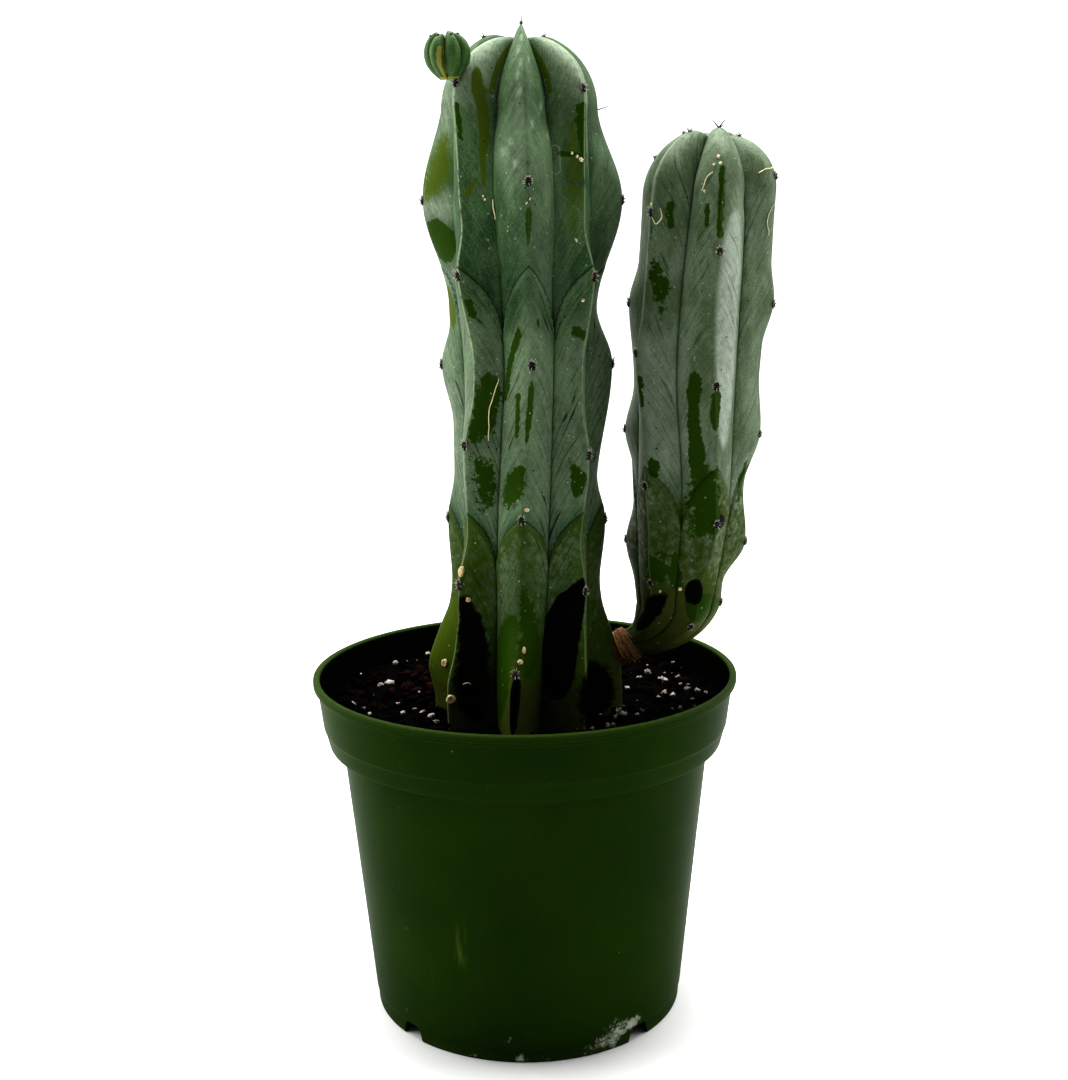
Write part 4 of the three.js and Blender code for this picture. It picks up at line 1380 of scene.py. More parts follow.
def side_stem() -> SideStem:
    """Gives the shorter stem its six ribs and its marks."""
    ribs = (
        Rib(
            ((150, 20), (182, 26), (229, 11), (272, 5), (311, 6)),
            ((312.3, 0), (272, 1.4), (228.7, 1.6), (181.7, 1.6), (146, 1)), 313, edge=0.15,
        ),
        Rib(
            ((150, 82), (182, 82), (212, 76), (291, 73)),
            (
                (309, 0), (296, 0.2), (254.3, 2, 15, 14), (210.5, 2.2, 22, 17), (172.9, 3.2, 24, 14),
                (151, 0.4, 8, 10),
            ),
            310.4,
        ),
        Rib(((150, 140), (212, 136)), ((309.5, 0), (272, 1.6), (229, 1.6), (190, 1.4)), 312.4),
        Rib(((150, 196), (212, 190)), ((288, 1.4), (252, 1.6), (208, 1.6), (168, 1.4)), 312.4),
        Rib(
            ((150, 250), (212, 246)),
            ((310.5, 0), (303, 1, 10, 40), (254.6, 2.8, 15, 30), (211, 2.4, 15, 14), (172, 2.2, 15, 34)),
            312.4,
        ),
        Rib(
            ((150, 318), (194, 312), (239, 296), (285, 304)),
            ((310.5, 0), (284.7, 1.4), (238.8, 1.8), (194.5, 1.6), (160.5, 1.4)), 312.4, edge=0.7,
        ),
    )
    strokes = (
        Stroke(BARE, 2.2, ((-1.02, 283), (-1.03, 273))),
        Stroke(BARE, 1.8, ((-0.77, 287), (-0.74, 280))),
        Stroke(BARE, 1.6, ((-0.04, 298), (-0.02, 287), (-0.01, 277))),
        Stroke(BARE, 1.4, ((-0.21, 287), (-0.18, 280))),
        Stroke(BARE, 2.4, ((-0.97, 230), (-1.0, 222))),
        Stroke(FROST, 10, ((-0.8, 240), (-0.75, 205)), 0.35),
        Stroke(AGED, 16, ((-0.5, 185), (-0.5, 160)), 0.7),
        Stroke(AGED, 12, ((0.5, 180), (0.5, 155)), 0.5),
    )
    patches = (
        # Paler right flank of the front rib: thick bloom, and a painted highlight from the light on the right
        Patch(FROST, ((0.0, 280), (0.32, 288), (0.42, 262), (0.36, 214), (0.0, 203)), 0.7, 0.8),
        Patch(BARE, (
            (-0.98, 271), (-0.8, 270), (-0.62, 260), (-0.7, 256), (-0.65, 252), (-0.77, 249), (-0.87, 257),
            (-0.98, 262),
        ), 2, 0.7),
        Patch(BARE, (
            (-0.33, 235), (-0.13, 232), (-0.22, 220), (-0.14, 204), (-0.17, 198), (-0.27, 195), (-0.4, 202),
            (-0.35, 210),
        )),
        Patch(BARE, ((-0.04, 229), (0.07, 228), (0.06, 220), (0.01, 214), (-0.08, 214)), 0.8),
        Patch(BARE, ((-0.95, 205), (-0.8, 203), (-0.8, 198), (-0.95, 197))),
        Patch(BARE, ((-0.4, 200), (0.02, 205), (0.05, 192), (0.3, 182), (-0.07, 175), (-0.46, 180)), 4, 0.8),
        Patch(BARE, ((0.84, 203), (0.92, 202), (0.93, 189), (0.71, 185), (0.64, 193)), 2, 0.8),
        Patch(BARE, ((-0.62, 173), (-0.56, 172), (-0.37, 162), (-0.4, 159), (-0.69, 160))),
        Patch(BARE, ((-1.12, 171), (-0.69, 174), (-0.62, 167), (-0.67, 160), (-1.16, 160)), 1.8, 0.66),
        Patch(AGED, ((0.06, 191), (0.24, 188), (0.56, 182), (0.22, 181), (0.02, 186)), 1.5),
        Patch(BARE, ((-0.3, 161), (-0.02, 157), (0.5, 156), (0.95, 152), (0.66, 147), (-0.25, 147)), 1.0),
        # Painted shadow low on the left of the side stem, near its bend
        Patch(WET, ((-1.27, 153), (-0.88, 157), (-0.62, 157), (-0.9, 147), (-1.0, 135), (-1.48, 135)), 2.5),
        Patch(WET, ((-0.32, 162), (-0.1, 163), (0.1, 158), (0.05, 153), (-0.3, 154)), 1.5),
        Patch(WET, ((0.02, 186), (0.3, 184), (0.28, 180), (0.04, 180)), 1.2, 0.8),
    )
    return SideStem(
        name="branch_stem_flesh", node="branch_stem", foot=126.0, shoulder=291.0, top=320.0, pit=308.5,
        hump_above=15.0, hump_below=24.0, growth_lines=((201.0, 20.0),), growth_step=0.8, aged_below=150.0,
        frost=0.0, veins=0.55, crest_round=0.03, young_veins=0.0, rib_width=22.0, ribs=ribs, strokes=strokes,
        patches=patches,
        crest=(
            (126, 5.5), (150, 14.3), (158, 15), (172, 18.4), (184, 18.6), (195, 19.6), (212, 21.6), (240, 22),
            (262, 23), (291, 22.4),
        ),
        groove=((126, 5.2), (150, 13.5), (172, 16), (212, 17.8), (262, 18.2), (280, 17.6), (291, 16)),
        blunt=((126, 0), (275, 0.1), (291, 0.4), (318, 0.9)),
        skin=BloomedSkin(
            name="grey_bloomed_cactus_skin",
            frost=0xA2ABA0,
            base=0x6E7E66,
            base_shade=0x4B5C3F,
            vein=0x1C2A16,
            crest=0x93A08A,
            specular=0.22,
        ),
    )


def young_offset(host: RibbedStem) -> YoungOffset:
    """Gives the offset its six full ribs and its seat.

    Args:
        host: The main stem, on whose upper left areole it stands.

    Returns:
        The offset.
    """
    seat = host.seat(6, 325.1)[0] + np.array((-2.0, -1.4, 0.4))
    height = 15.5
    ribs = tuple(
        Rib(((0, 24 + 60 * index),), ((height - 1.6, 0),), height - (index % 2) * 0.7) for index in range(6)
    )
    strokes = (
        Stroke(GLOW, 1.3, ((-0.7, 1), (-0.78, 5), (-0.7, 10))),
        Stroke(GLOW, 0.7, ((-0.5, 2), (-0.5, 12))),
        Stroke(GLOW, 0.9, ((-1.5, 1), (-0.5, 1), (0.5, 1), (1.5, 1)), 0.8),
    )
    return YoungOffset(
        name="young_offset_flesh", node="young_offset", slot="offset_skin", foot=0.0, shoulder=8.0, top=17.0,
        pit=12.6, blunt=((0, 0.6), (17, 0.9)), hump_above=2.0, hump_below=2.0, ring_gap=0.25, groove_cut=0.5,
        half_steps=10, rib_width=7.0, ribs=ribs, base=tuple(seat), frost=0.1, strokes=strokes,
        crest=((0, 2.4), (1.2, 3.6), (3, 5.4), (5.5, 6.9), (8, 7.4)),
        groove=((0, 2.1), (1.2, 2.9), (5.5, 4.6), (8, 4.8)),
        skin=BloomedSkin(
            name="young_offset_skin",
            base=0x3D641F,
            base_shade=0x294A12,
            bare_light=0x8E8C48,
            vein=0x081203,
            crest=0x5C7242,
            specular=0.22,
        ),
    )


# Corky neck, scars and litter


@dataclass
class CorkNeck:
    """The corky collar between the stems, with the dry strands torn round it."""

    centre: Spot = (37.04, -12.0, 136.29)
    angle: float = 59.0
    root: float = 7.0
    radius: float = 5.6
    strands: int = 90
    seed: int = 5

    def spots(self, reach: Array, angle: Array, shift: Array) -> Array:
        """Gives places round the neck.

        Args:
            reach: Their ways from its axis.
            angle: Their angles round it in radians.
            shift: How far onward along it they are.

        Returns:
            The places.
        """
        turn = math.radians(self.angle)
        across = np.array((math.cos(turn), 0.0, -math.sin(turn)))
        depth = np.array((0.0, 1.0, 0.0))
        onward = np.array((math.sin(turn), 0.0, math.cos(turn)))
        round_it = across * (reach * np.cos(angle))[..., None] + depth * (reach * np.sin(angle))[..., None]
        return np.array(self.centre) + round_it + onward * shift[..., None]

    def build(self, cork: Material) -> None:
        """Builds the collar and its strands as one piece.

        Args:
            cork: Their finish.
        """
        draw = np.random.default_rng(self.seed)
        clump = Clump()
        shift, turns = np.meshgrid(np.linspace(-self.root, 1.2, 15), around(48), indexing="ij")
        swell = self.radius + 0.35 * np.cos(turns * 11 + shift) + 0.2 * np.cos(turns * 23 - 2 * shift)
        ring = self.spots(swell * (1 - 0.12 * step_up(-1.0, 1.2, shift)), turns, shift)
        body = np.concatenate([ring.reshape(-1, 3), [ring[0].mean(axis=0), ring[-1].mean(axis=0)]])
        clump.add(body, closed_faces(*shift.shape), tone=0.15)
        share = np.linspace(0, 1, 9)
        for number in range(self.strands):
            front = number % 3 != 0
            start = (180 + draw.normal() * 25) if front else (180 - 360 * draw.random())
            sweep = draw.uniform(60, 190) * (1 if front else 0.4)
            reach = self.radius + (0.25 + 0.35 * draw.random() + 1.6 * draw.random() ** 3 * share**3)
            slide = draw.uniform(-3.4, 0.9) + draw.normal() * 0.9 * share
            path = self.spots(reach, np.radians(start + sweep * share), slide)
            points, faces = tube(path, draw.uniform(0.18, 0.38) * (1 - 0.7 * share**2), 5)
            clump.add(points, faces, tone=draw.uniform(0.2, 0.85))
        settle(clump.build("branch_neck_cork"), "branch_neck", cork)


@dataclass(frozen=True)
class Scar:
    """A callus on a stem: its place, half width, half length and paleness."""

    turn: float
    height: float
    wide: float
    long: float
    tone: float = 0.8
    ring: bool = False


@dataclass
class Litter:
    """Scars, dry fibres and flakes on the stems."""

    stem: RibbedStem
    scars: tuple[Scar, ...]
    fibres: tuple[tuple[Place, ...], ...]
    flakes: tuple[Place, ...]
    seed: int = 9

    def on_skin(self, turn: float, height: float) -> tuple[Array, Array]:
        """Finds a place on the skin and the frame that faces out of it."""
        levels = np.array([height - 0.5, height + 0.5, height, height])
        points = self.stem.surface(levels, np.array([turn, turn, turn - 0.03, turn + 0.03]))[0]
        run = points[1] - points[0]
        return points.mean(axis=0), frame_of(np.cross(points[3] - points[2], run), run)

    def build(self, straw: Material) -> None:
        """Builds everything that lies on the stem as one piece.

        Args:
            straw: Its finish.
        """
        draw = np.random.default_rng(self.seed)
        clump = Clump()
        corners, faces = ball(9, 18)
        edge = np.hypot(corners[:, 0], corners[:, 1])
        for scar in self.scars:
            middle, axes = self.on_skin(scar.turn, scar.height)
            shape = corners * np.array((scar.wide, scar.long, 0.55))
            rise = 0.35 * bell(edge - 0.75, 0.2) if scar.ring else 0.15 * edge
            shape[:, 2] += np.where(corners[:, 2] > 0, rise, 0.0)
            shape[:, :2] *= 1 + 0.1 * ripple(corners * 4, 3.0, int(scar.height))[:, None]
            tone = scar.tone - (0.55 * (edge < 0.5) if scar.ring else 0.0)
            clump.add(shape @ axes + middle, faces, tone=tone)
        for line in self.fibres:
            self.add_fibre(clump, line, draw)
        for turn, height in self.flakes:
            middle, axes = self.on_skin(turn, height)
            size = draw.uniform(0.35, 0.65)
            shape = corners * np.array((size, size * draw.uniform(0.5, 1.3), 0.3))
            shape *= 1 + 0.25 * ripple(corners * 4, 2.5, int(height * 7))[:, None]
            spin = np.array(Matrix.Rotation(draw.uniform(0, math.pi), 3, "Z"))
            clump.add(shape @ spin @ axes + middle + axes[2] * 0.15, faces, tone=draw.uniform(0.75, 1.0))
        settle(clump.build(self.stem.name + "_litter"), self.stem.node, straw)

    def add_fibre(self, clump: Clump, line: Points, draw: np.random.Generator) -> None:
        """Adds one dry fibre that lies along places on the skin.

        Args:
            clump: Where it goes.
            line: Its places, as rib counts and heights.
            draw: The source of chance.
        """
        spots = [self.on_skin(turn, height) for turn, height in line]
        path = np.array([middle + axes[2] * 0.3 for middle, axes in spots])
        length = np.append(0, np.cumsum(np.linalg.norm(np.diff(path, axis=0), axis=1)))
        fine = np.linspace(0, length[-1], 5 * len(line))
        smooth = np.stack([smooth_line(list(zip(length, path[:, axis])), fine) for axis in range(3)], -1)
        smooth += 0.15 * np.stack([ripple(smooth, 4.0, 40 + axis) for axis in range(3)], -1)
        radii = draw.uniform(0.16, 0.22) * np.sin(np.linspace(0.35, 2.9, len(fine))) ** 0.4
        points, faces = tube(smooth, radii, 7)
        clump.add(points, faces, tone=draw.uniform(0.7, 0.95))


# Pot


@dataclass
class NurseryPot:
    """The moulded pot: lip, collar with its bevelled lower edge, wall, foot ring and floor.

    A lime crust is its bearing, its height, its reach and its strength.
    """

    rim_radius: float = 76.2
    height: float = 124.0
    lip_width: float = 2.2
    lip_height: float = 2.8
    collar_top_radius: float = 74.6
    collar_low_radius: float = 72.6
    collar_bevel_drop: float = 17.8
    collar_edge_radius: float = 71.0
    collar_edge_drop: float = 24.2
    wall_top_radius: float = 66.3
    wall_foot_radius: float = 57.0
    wall: float = 1.4
    shelf: float = 1.0
    foot_height: float = 5.3
    foot_radius: float = 56.3
    foot_width: float = 1.9
    floor_low: float = 3.0
    floor_top: float = 5.0
    longest_run: float = 1.9
    sides: int = 240
    drains: int = 4
    drain_first: float = -47.0
    drain_low: float = 10.5
    drain_high: float = 8.0
    drain_inner: float = 46.0
    drain_round: float = 1.6
    sharp_angle: float = 42.0
    lime: tuple[tuple[float, float, float, float], ...] = (
        (28, 3, 9, 0.9), (34, 7, 9, 0.9), (39, 8, 6, 0.8), (22, 1.5, 6, 0.8), (14, 1, 4, 0.75),
        (6, 1.5, 4, 0.7), (-3, 1, 4, 0.75), (-11, 2, 3, 0.6), (-21, 1, 2.5, 0.55), (-48, 9, 3, 0.6),
    )
    scuff_bearing: float = -22.0
    scuff_height: float = 43.0
    scuff: float = 0.4
    wall_dust: float = 0.05
    ground_dust: float = 0.35
    lip_dust: float = 0.34
    lip_through_light: float = 0.2
    inside_shade_strength: float = 0.94

    @property
    def edge(self) -> float:
        """The height of the collar's lower edge."""
        return self.height - self.collar_edge_drop

    @property
    def bevel(self) -> float:
        """The height of the top of the collar's bevel."""
        return self.height - self.collar_bevel_drop

    def inside(self, z: float) -> float:
        """Gives the radius of the pot's inside at a height.

        Args:
            z: Height over the ground.

        Returns:
            The radius in mm.
        """
        line = ((self.foot_height, self.wall_foot_radius), (self.edge, self.wall_top_radius))
        if z >= self.edge + self.shelf:
            lip_foot = (self.height - self.lip_height, self.collar_top_radius)
            line = ((self.edge, self.collar_edge_radius), (self.bevel, self.collar_low_radius), lip_foot)
        return float(np.interp(z, *zip(*line))) - self.wall

    def outline(self) -> list[Spot]:
        """Lists the corners of the section as radius, height and rounding."""
        top, rim, edge, bevel = self.height, self.rim_radius, self.edge, self.bevel
        lip_foot = top - self.lip_height
        ring_in = self.foot_radius - self.foot_width
        lip_in = rim - self.lip_width
        return [
            (0.0, self.floor_low, 0.0),
            (ring_in - 0.6, self.floor_low, 0.4),
            (ring_in, 0.0, 0.3),
            (self.foot_radius, 0.0, 0.6),
            (self.foot_radius + 0.2, self.foot_height, 0.2),
            (self.wall_foot_radius, self.foot_height + 0.4, 0.3),
            (self.wall_top_radius, edge - 0.8, 0.6),
            (self.collar_edge_radius, edge, 0.5),
            (self.collar_low_radius, bevel, 0.5),
            (self.collar_low_radius + 0.35, bevel + 0.5, 0.3),
            (self.collar_top_radius, lip_foot - 1.3, 0.3),
            (self.collar_top_radius + 0.5, lip_foot - 1.0, 0.2),
            (self.collar_top_radius + 0.55, lip_foot, 0.1),
            (rim - 0.3, lip_foot + 0.1, 0.2),
            (rim, lip_foot + 0.5, 0.4),
            (rim, top - 0.4, 0.5),
            (rim - 0.5, top, 0.4),
            (lip_in + 0.3, top, 0.3),
            (lip_in - 0.3, top - 0.6, 0.4),
            (self.inside(lip_foot), lip_foot - 0.4, 0.5),
            (self.inside(bevel), bevel, 1.0),
            (self.inside(edge + self.shelf), edge + self.shelf, 0.5),
            (self.inside(edge), edge, 1.0),
            (self.inside(self.floor_top + 3), self.floor_top + 3, 1.5),
            (self.inside(self.floor_top) - 3, self.floor_top, 1.5),
            (0.0, self.floor_top, 0.0),
        ]

    def section(self) -> Array:
        """Rounds the outline's corners and divides its long runs.

        Returns:
            Radius and height of each point, from the axis below to the axis above.
        """
        corners = self.outline()
        rounded = [np.array(corners[0][:2])]
        for before, here, after in zip(corners, corners[1:], corners[2:]):
            point = np.array(here[:2])
            back, onward = np.array(before[:2]) - point, np.array(after[:2]) - point
            cut = min(here[2], 0.45 * np.linalg.norm(back), 0.45 * np.linalg.norm(onward))
            start, end = point + unit(back) * cut, point + unit(onward) * cut
            for share in (0.0, 0.33, 0.67, 1.0):
                rounded.append((1 - share) ** 2 * start + 2 * share * (1 - share) * point + share**2 * end)
        rounded.append(np.array(corners[-1][:2]))
        points = [rounded[0]]
        for low, high in zip(rounded, rounded[1:]):
            parts = max(1, int(np.linalg.norm(high - low) / self.longest_run))
            points.extend(low + (high - low) * (part + 1) / parts for part in range(parts))
        return np.array(points)

    def drain_cutter(self, bearing: float) -> bpy.types.Object:
        """Makes the block that cuts one drain through the foot ring and the outer floor.

        Args:
            bearing: The drain's bearing in degrees.

        Returns:
            A scratch object, deleted after the cut.
        """
        top, cut = self.foot_height - 0.1, self.drain_round
        right = [(self.drain_low / 2, -1.0)]
        for turn in np.linspace(0, math.pi / 2, 6):
            right.append((self.drain_high / 2 - cut * (1 - math.cos(turn)), top - cut * (1 - math.sin(turn))))
        section = right + [(-x, z) for x, z in reversed(right)]
        corners = [(x, -reach, z) for reach in (self.drain_inner, self.rim_radius) for x, z in section]
        count = len(section)
        faces = [list(range(count - 1, -1, -1)), list(range(count, 2 * count))]
        for side in range(count):
            after = (side + 1) % count
            faces.append([side, after, count + after, count + side])
        turn = np.array(Matrix.Rotation(math.radians(bearing), 3, "Z"))
        return add_mesh("drain_cutter", np.array(corners) @ turn.T, faces)

    def build(self, plastic: Material) -> None:
        """Turns the section, cuts the drains and paints dust and lime.

        Args:
            plastic: The pot's finish.
        """
        section = self.section()
        inner = section[1:-1]
        turn = around(self.sides)
        radius, height = inner[:, :1], np.broadcast_to(inner[:, 1:], (len(inner), self.sides))
        body = np.stack([radius * np.sin(turn), -radius * np.cos(turn), height], axis=-1).reshape(-1, 3)
        ends = [(0, 0, section[0, 1]), (0, 0, section[-1, 1])]
        pot = add_mesh("nursery_pot", np.concatenate([body, ends]), closed_faces(len(inner), self.sides))
        cutters = [self.drain_cutter(self.drain_first + 360 / self.drains * n) for n in range(self.drains)]
        for cutter in cutters:
            cut = pot.modifiers.new("drain", "BOOLEAN")
            cut.operation = "DIFFERENCE"
            cut.solver = "EXACT"
            cut.object = cutter
        bpy.context.view_layer.update()
        carved = bpy.data.meshes.new_from_object(pot.evaluated_get(bpy.context.evaluated_depsgraph_get()))
        pot.modifiers.clear()
        pot.data = carved
        for cutter in cutters:
            bpy.data.objects.remove(cutter)
        carved.set_sharp_from_angle(angle=math.radians(self.sharp_angle))
        self.paint(carved)
        settle(pot, "pot", plastic)

    def paint(self, mesh: bpy.types.Mesh) -> None:
        """Writes how dusty, limy and scuffed the pot is, with painted light in its thin lip and painted shade
        inside.

        Args:
            mesh: The pot's mesh, in the part's frame.
        """
        flat = np.empty(len(mesh.vertices) * 3)
        mesh.vertices.foreach_get("co", flat)
        x, y, z = (flat.reshape(-1, 3) / MM + np.array((BOX_CENTRE_X, 0.0, 0.0))).T
        radius = np.hypot(x, y)
        bearing = np.degrees(np.arctan2(x, -y))
        outside = radius > np.array([self.inside(float(value)) + 0.5 * self.wall for value in z])
        lime = np.zeros(len(z))
        for at_bearing, at_height, reach, strength in self.lime:
            far = np.hypot(np.radians(bearing - at_bearing) * radius, (z - at_height) * 1.6) / reach
            lime = np.maximum(lime, strength * np.clip(1.15 - far, 0, 1))
        lip = self.height
        aside = np.radians(bearing - self.scuff_bearing) * radius
        dusty = np.maximum(self.wall_dust * outside, self.ground_dust * np.exp(-z / 2.5))
        painted = {
            "dusty": np.maximum(dusty, self.lip_dust * step_up(lip - 2, lip - 0.5, z)),
            "lime": lime * outside,
            # Lighter near the lip, painted as light shining through the thin wall
            "thin": self.lip_through_light * outside * step_up(lip - 6, lip, z),
            # Painted shade over the inside wall, up to just under the lip
            "peaty": self.inside_shade_strength * ~outside * (1 - step_up(lip - 1.1, lip - 0.1, z)),
            "scuff": self.scuff * outside * bell(aside, 1.8) * bell(z - self.scuff_height, 7),
        }
        write_fields(mesh, painted)


# Soil


@dataclass
class SoilBed:
    """The potting mix: a plug with a crumbly top, bark and peat crumbs, and grains of perlite.

    The larger grains of perlite and flakes of bark are placed, each by its place and its size in mm.
    """

    pot: NurseryPot
    level: float = 112.4
    tilt: float = 0.016
    heap: float = 1.1
    gap: float = 0.3
    stem_x: float = 1.0
    stem_y: float = -16.0
    crumbs: int = 950
    bark_share: float = 0.2
    stand: float = 0.35
    grains: int = 110
    sides: int = 220
    top_rings: int = 74
    seed: int = 21
    placed: tuple[Spot, ...] = (
        (-62, -6, 1.4), (-58, -10, 1.1), (-55, -16, 1.1), (-51, 20, 1.8), (-54, 16, 1.5), (-51, 46, 1.5),
        (-45, -2, 1.3), (-46, 30, 0.8), (-43, -18, 1.2), (-37, -21, 1.1), (-33, -22, 1.4), (-31, -25, 1.5),
        (-39, 58, 1.2), (-38, 53, 1.1), (-41, 66, 0.9), (-39, 6, 0.7), (-63, 31, 0.9), (-46, -6, 1.0),
        (47, 27, 1.4), (52, 21, 1.5), (53, 17, 1.4), (51, 3, 1.6), (54, 2, 1.3), (58, 20, 1.2), (60, 9, 1.3),
        (61, 14, 1.0), (58, 13, 0.8), (63, 3, 1.5), (66, 1, 1.6), (32, -19, 1.7), (34, -21, 1.7),
        (32, -23, 1.4), (38, 11, 1.1), (43, 20, 1.0), (42, 25, 0.9), (41, 30, 0.8), (41, -19, 1.0),
        (39, -23, 1.3),
        (55, -15, 1.2), (58, 40, 1.0), (61, 34, 0.8), (21, -36, 1.3), (23, -36, 1.0), (28, -35, 1.3),
        (30, -34, 1.0), (22, -23, 0.9), (26, -23, 1.0),
    )
    bark: tuple[Spot, ...] = (
        (-45, 30, 2.2), (-42, 24, 2.6), (-38, 20, 2.4), (-36, 26, 2.2), (-44, 14, 2.3), (-40, 11, 2.0),
        (-34, 15, 2.2), (-49, 8, 1.8), (-37, -8, 1.9), (-41, 38, 1.9), (-35, 34, 1.8),
    )

    def top_at(self, x: Array | float, y: Array | float) -> Array:
        """Gives the soil's height at a place: tilted, heaped towards the stem and crumbly."""
        heap = self.heap * bell(np.hypot(x - self.stem_x, y - self.stem_y) - 20, 26)
        crumble = 0.7 * np.sin(0.31 * x + 1.3) * np.cos(0.27 * y) + 0.4 * np.sin(0.83 * x - 0.71 * y)
        return self.level + self.tilt * y + heap + crumble

    def build(self, mix: Material, perlite: Material) -> None:
        """Builds the plug, the crumbs and the perlite.

        Args:
            mix: Finish of peat and bark.
            perlite: Finish of the white grains.
        """
        draw = np.random.default_rng(self.seed)
        reach = self.pot.inside(self.level) - self.gap
        self.build_plug(mix, reach)
        crumbs, grains = Clump(), Clump()
        coarse, fine = ball(4, 8), ball(7, 12)
        for _ in range(self.crumbs):
            x, y = self.scatter(draw, reach - 1.5)
            size = 0.45 + 1.7 * draw.random() ** 2.2
            bark = draw.random() < self.bark_share
            self.add_grain(crumbs, coarse, draw, (x, y, size), 0.5 if bark else 0.1, bark)
        for _ in range(self.grains):
            x, y = self.scatter(draw, reach - 2.5)
            size = 0.3 + 0.7 * draw.random() ** 3
            self.add_grain(grains, fine, draw, (x, y, size), draw.uniform(0.2, 0.75), False)
        for x, y, size in self.placed:
            self.add_grain(grains, fine, draw, (x, y, 0.82 * size), draw.uniform(0.2, 0.7), False)
        for spot in self.bark:
            self.add_grain(crumbs, fine, draw, spot, 1.0, True)
        settle(crumbs.build("soil_bark_and_peat"), "soil", mix)
        settle(grains.build("soil_perlite"), "soil", perlite)

    def scatter(self, draw: np.random.Generator, reach: float) -> Place:
        """Draws a place on the soil, evenly over its area."""
        radius, turn = reach * math.sqrt(draw.random()), 2 * math.pi * draw.random()
        return radius * math.cos(turn), radius * math.sin(turn)

    def add_grain(
        self,
        clump: Clump,
        shape: tuple[Array, Faces],
        draw: np.random.Generator,
        spot: Spot,
        tone: float,
        flat: bool,
    ) -> None:
        """Adds one lumpy grain half sunk in the soil.

        Args:
            clump: Where it goes.
            shape: A unit ball's corners and faces.
            draw: The source of chance.
            spot: Its place and its size in mm.
            tone: Its paleness.
            flat: Whether it is a flake of bark.
        """
        x, y, size = spot
        corners, faces = shape
        stretch = draw.uniform(0.6, 1.25, 3) * np.array((1.5, 0.8, 0.45) if flat else (1.15, 0.85, 0.75))
        lumpy = corners * (1 + 0.4 * ripple(corners * 5, 3.4, int(draw.integers(1 << 30)), 4)[:, None])
        spin = Matrix.Rotation(draw.uniform(0, 6.3), 3, "Z")
        tip = Matrix.Rotation(draw.uniform(-0.5, 0.5), 3, "X")
        body = lumpy * stretch * size @ np.array(spin @ tip).T
        clump.add(body + np.array((x, y, float(self.top_at(x, y)) + self.stand * size)), faces, tone=tone)

    def build_plug(self, mix: Material, reach: float) -> None:
        """Builds the plug under and between the grains.

        Args:
            mix: Its finish.
            reach: Radius of its top.
        """
        pot, floor = self.pot, self.pot.floor_top + self.gap
        wall = (
            (pot.inside(floor) - 3.3, floor),
            (pot.inside(floor + 3), floor + 3),
            (pot.inside(pot.edge - 1) - 0.1, pot.edge - 0.4),
            (pot.inside(pot.edge + pot.shelf), pot.edge + pot.shelf + 2 * self.gap),
            (pot.inside(pot.bevel), pot.bevel),
        )
        turn = around(self.sides)
        rings = []
        for radius, z in wall:
            x, y = (radius - self.gap) * np.sin(turn), -(radius - self.gap) * np.cos(turn)
            rings.append(np.stack([x, y, np.full(self.sides, z)], -1))
        for radius in np.linspace(reach, 1.0, self.top_rings):
            x, y = radius * np.sin(turn), -radius * np.cos(turn)
            flat = np.stack([x, y, np.zeros(self.sides)], -1)
            rough = 0.35 * ripple(flat, 3.0, 3, 9) + 0.5 * ripple(flat, 7.0, 4, 9)
            rings.append(np.stack([x, y, self.top_at(x, y) + 0.6 * rough * (radius < reach - 0.5) - 0.3], -1))
        ends = [(0.0, 0.0, floor), (0.0, 0.0, float(rings[-1][:, 2].mean()))]
        points = np.concatenate([*rings, ends])
        tone = np.clip(0.12 + 0.12 * ripple(points * np.array((1, 1, 0)), 16.0, 6), 0, 1)
        plug = add_mesh("soil_plug", points, closed_faces(len(rings), self.sides), {"tone": tone})
        settle(plug, "soil", mix)


# Studio


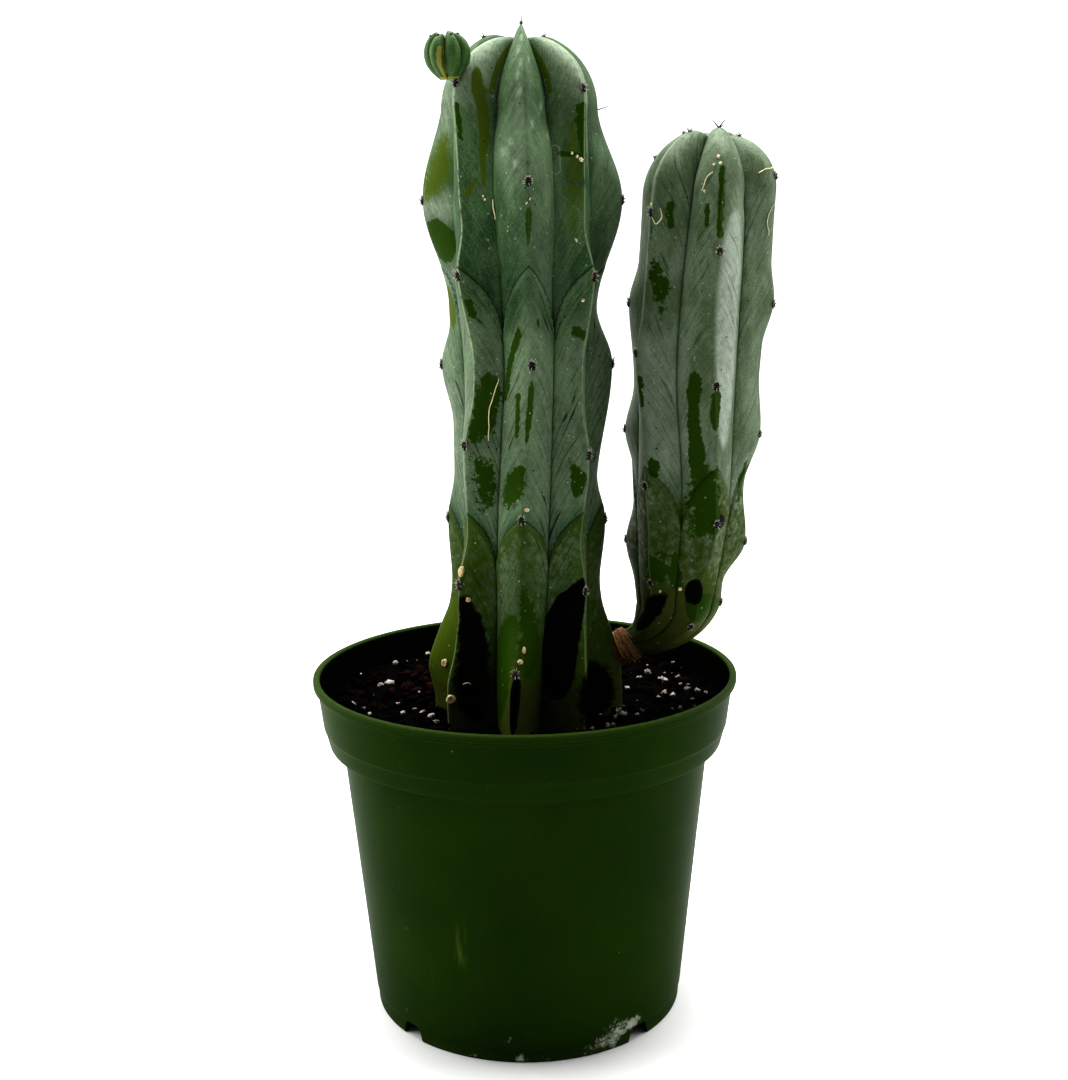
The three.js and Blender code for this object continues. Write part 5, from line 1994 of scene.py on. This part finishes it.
@dataclass
class Studio:
    """A pale floor, soft light from both sides and the camera at the photograph's angle."""

    camera_place: Spot = (0.0, -520.0, 276.6)
    pitch: float = 11.45
    yaw: float = 0.43
    roll: float = -0.66
    focal_pixels: float = 1487.0
    image_width: int = 1068
    sensor: float = 36.0
    floor_colour: int = 0xE6E6E5
    floor_half: float = 850.0
    front_to: float = -0.45
    side_from: float = 0.35
    front_light: float = 0.14
    side_light: float = 1.12
    aim: Spot = (0.0, 0.0, 0.18)

    def build(self) -> None:
        """Sets up floor, light, camera and how the picture is shown."""
        self.add_floor()
        self.add_world()
        self.add_light("left_softbox", (-0.95, 0.05, 0.6), (0.9, 1.1), 8.0)
        self.add_light("right_softbox", (0.95, 0.05, 0.55), (0.9, 1.1), 4.0)
        self.add_light("top_softbox", (0.0, 0.15, 1.3), (1.1, 0.8), 24.0)
        self.add_camera()
        bpy.context.scene.view_settings.view_transform = "Standard"
        bpy.context.scene.view_settings.look = "High Contrast"

    def add_floor(self) -> None:
        """Lays the pale floor just under the part."""
        corners = self.floor_half * np.array([(-1, -1, 0), (1, -1, 0), (1, 1, 0), (-1, 1, 0)])
        floor = add_mesh("studio_floor", corners, [[0, 1, 2, 3]])
        floor.data.materials.append(Finish("matt_white_paper", self.floor_colour, 0.9).build())

    def add_world(self) -> None:
        """Lights the room like a white tent that is bright behind and beside the part, and dim in front."""
        world = bpy.data.worlds.new("light_tent")
        world.use_nodes = True
        world.node_tree.nodes.clear()
        node = partial(add_node, world.node_tree)
        parts = node("SeparateXYZ", {"Vector": node("TexCoord").outputs["Generated"]})
        limits = (parts.outputs["Y"], self.front_to, self.side_from, self.front_light, self.side_light)
        light = node("MapRange", dict(enumerate(limits)), interpolation_type="SMOOTHSTEP")
        tent = node("Background", {"Color": (1.0, 1.0, 1.0, 1.0), "Strength": light})
        node("OutputWorld", {"Surface": tent})
        bpy.context.scene.world = world

    def add_light(self, name: str, place: Spot, size: Place, power: float) -> None:
        """Adds one softbox that faces the middle of the part.

        Args:
            name: Its name.
            place: Its place in metres.
            size: Its width and height in metres.
            power: Its power in watts.
        """
        data = bpy.data.lights.new(name, "AREA")
        data.shape = "RECTANGLE"
        data.size, data.size_y = size
        data.energy = power
        light = bpy.data.objects.new(name, data)
        light.location = place
        light.rotation_euler = (Vector(self.aim) - Vector(place)).to_track_quat("-Z", "Y").to_euler()
        bpy.context.scene.collection.objects.link(light)

    def add_camera(self) -> None:
        """Puts the camera where the photograph was taken from."""
        data = bpy.data.cameras.new("camera")
        data.sensor_fit = "HORIZONTAL"
        data.sensor_width = self.sensor
        data.lens = self.sensor * self.focal_pixels / self.image_width
        camera = bpy.data.objects.new("camera", data)
        camera.matrix_world = Matrix.Translation(Vector(to_scene(np.array(self.camera_place))))
        for angle, axis in ((-self.yaw, "Z"), (90 - self.pitch, "X"), (self.roll, "Z")):
            camera.matrix_world = camera.matrix_world @ Matrix.Rotation(math.radians(angle), 4, axis)
        bpy.context.scene.collection.objects.link(camera)
        bpy.context.scene.camera = camera


def main() -> None:
    """Builds the dressed part in order and reports each piece."""
    logging.basicConfig(level=logging.INFO, format="%(message)s", stream=sys.stdout)
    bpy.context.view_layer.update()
    wool, horn, cork = Felt().build(), SpineHorn().build(), Cork().build()
    straw = Cork("dry_plant_fibre", 0x8E7A54, light=0xD8CBA4).build()

    pot = NurseryPot()
    pot.build(MouldedPolypropylene().build())
    SoilBed(pot).build(PottingMix().build(), Perlite().build())

    tall, short = main_stem(), side_stem()
    tall.build_flesh()
    short.build_flesh()
    upright_tip = ((2, 3.8, 0.85), (-38, 1.7, 0.5), (42, 1.7, 0.5))
    Areoles(tall, tip_spines=upright_tip, stray=((2.05, 318, 78, 6.5),)).build(wool, horn)
    forked_tip = ((-48, 4.2, 0.3), (42, 4.6, 0.3), (72, 3.0, 0.7))
    Areoles(short, 1.0, 2.6, 140.0, tip_spines=forked_tip, seed=4).build(wool, horn)
    bud = young_offset(tall)
    bud.build_flesh()
    Areoles(bud, 0.4, 1.1, 9.0, tufts=4, seed=5).build(wool, horn)
    CorkNeck().build(cork)
    scars = (
        Scar(-0.99, 167.5, 1.2, 1.9, 0.3),
        Scar(-0.88, 158, 0.9, 0.9, 0.2),
        Scar(-1.8, 131, 1.3, 1.5, 0.4, True),
        Scar(-0.96, 124, 1.6, 1.7, 0.4, True),
        Scar(0.06, 190, 1.0, 0.6, 0.5),
        Scar(0.09, 143, 0.7, 1.2, 0.4),
        Scar(0.05, 139.5, 1.1, 0.9, 0.4),
    )
    fibres = (
        ((-0.51, 289), (-0.5, 286), (-0.5, 283)),
        ((-0.6, 232), (-0.64, 229), (-0.71, 224), (-0.72, 219), (-0.69, 212)),
        ((-0.86, 129), (-0.82, 129.5), (-0.78, 129)),
        ((-0.02, 287), (0.02, 289)),
    )
    flakes = ((-0.65, 290), (-0.63, 289), (0.88, 302), (0.8, 303), (0.94, 301), (0.84, 276), (0.88, 257))
    Litter(tall, scars, fibres, flakes).build(straw)
    fibres = (
        ((-0.98, 283), (-0.92, 281), (-0.86, 283), (-0.88, 286)),
        ((-0.31, 291), (-0.22, 295), (-0.16, 296)),
        ((0.88, 277), (0.84, 282), (0.97, 287)),
        ((0.69, 297), (0.86, 298), (0.95, 298)),
    )
    flakes = (
        (-1.02, 287), (-0.09, 300), (-0.15, 298), (-0.06, 298), (-0.26, 291), (-0.82, 158), (-0.42, 159)
    )
    Litter(short, (), fibres, flakes, seed=10).build(straw)
    Studio().build()


if __name__ == "__main__":
    main()
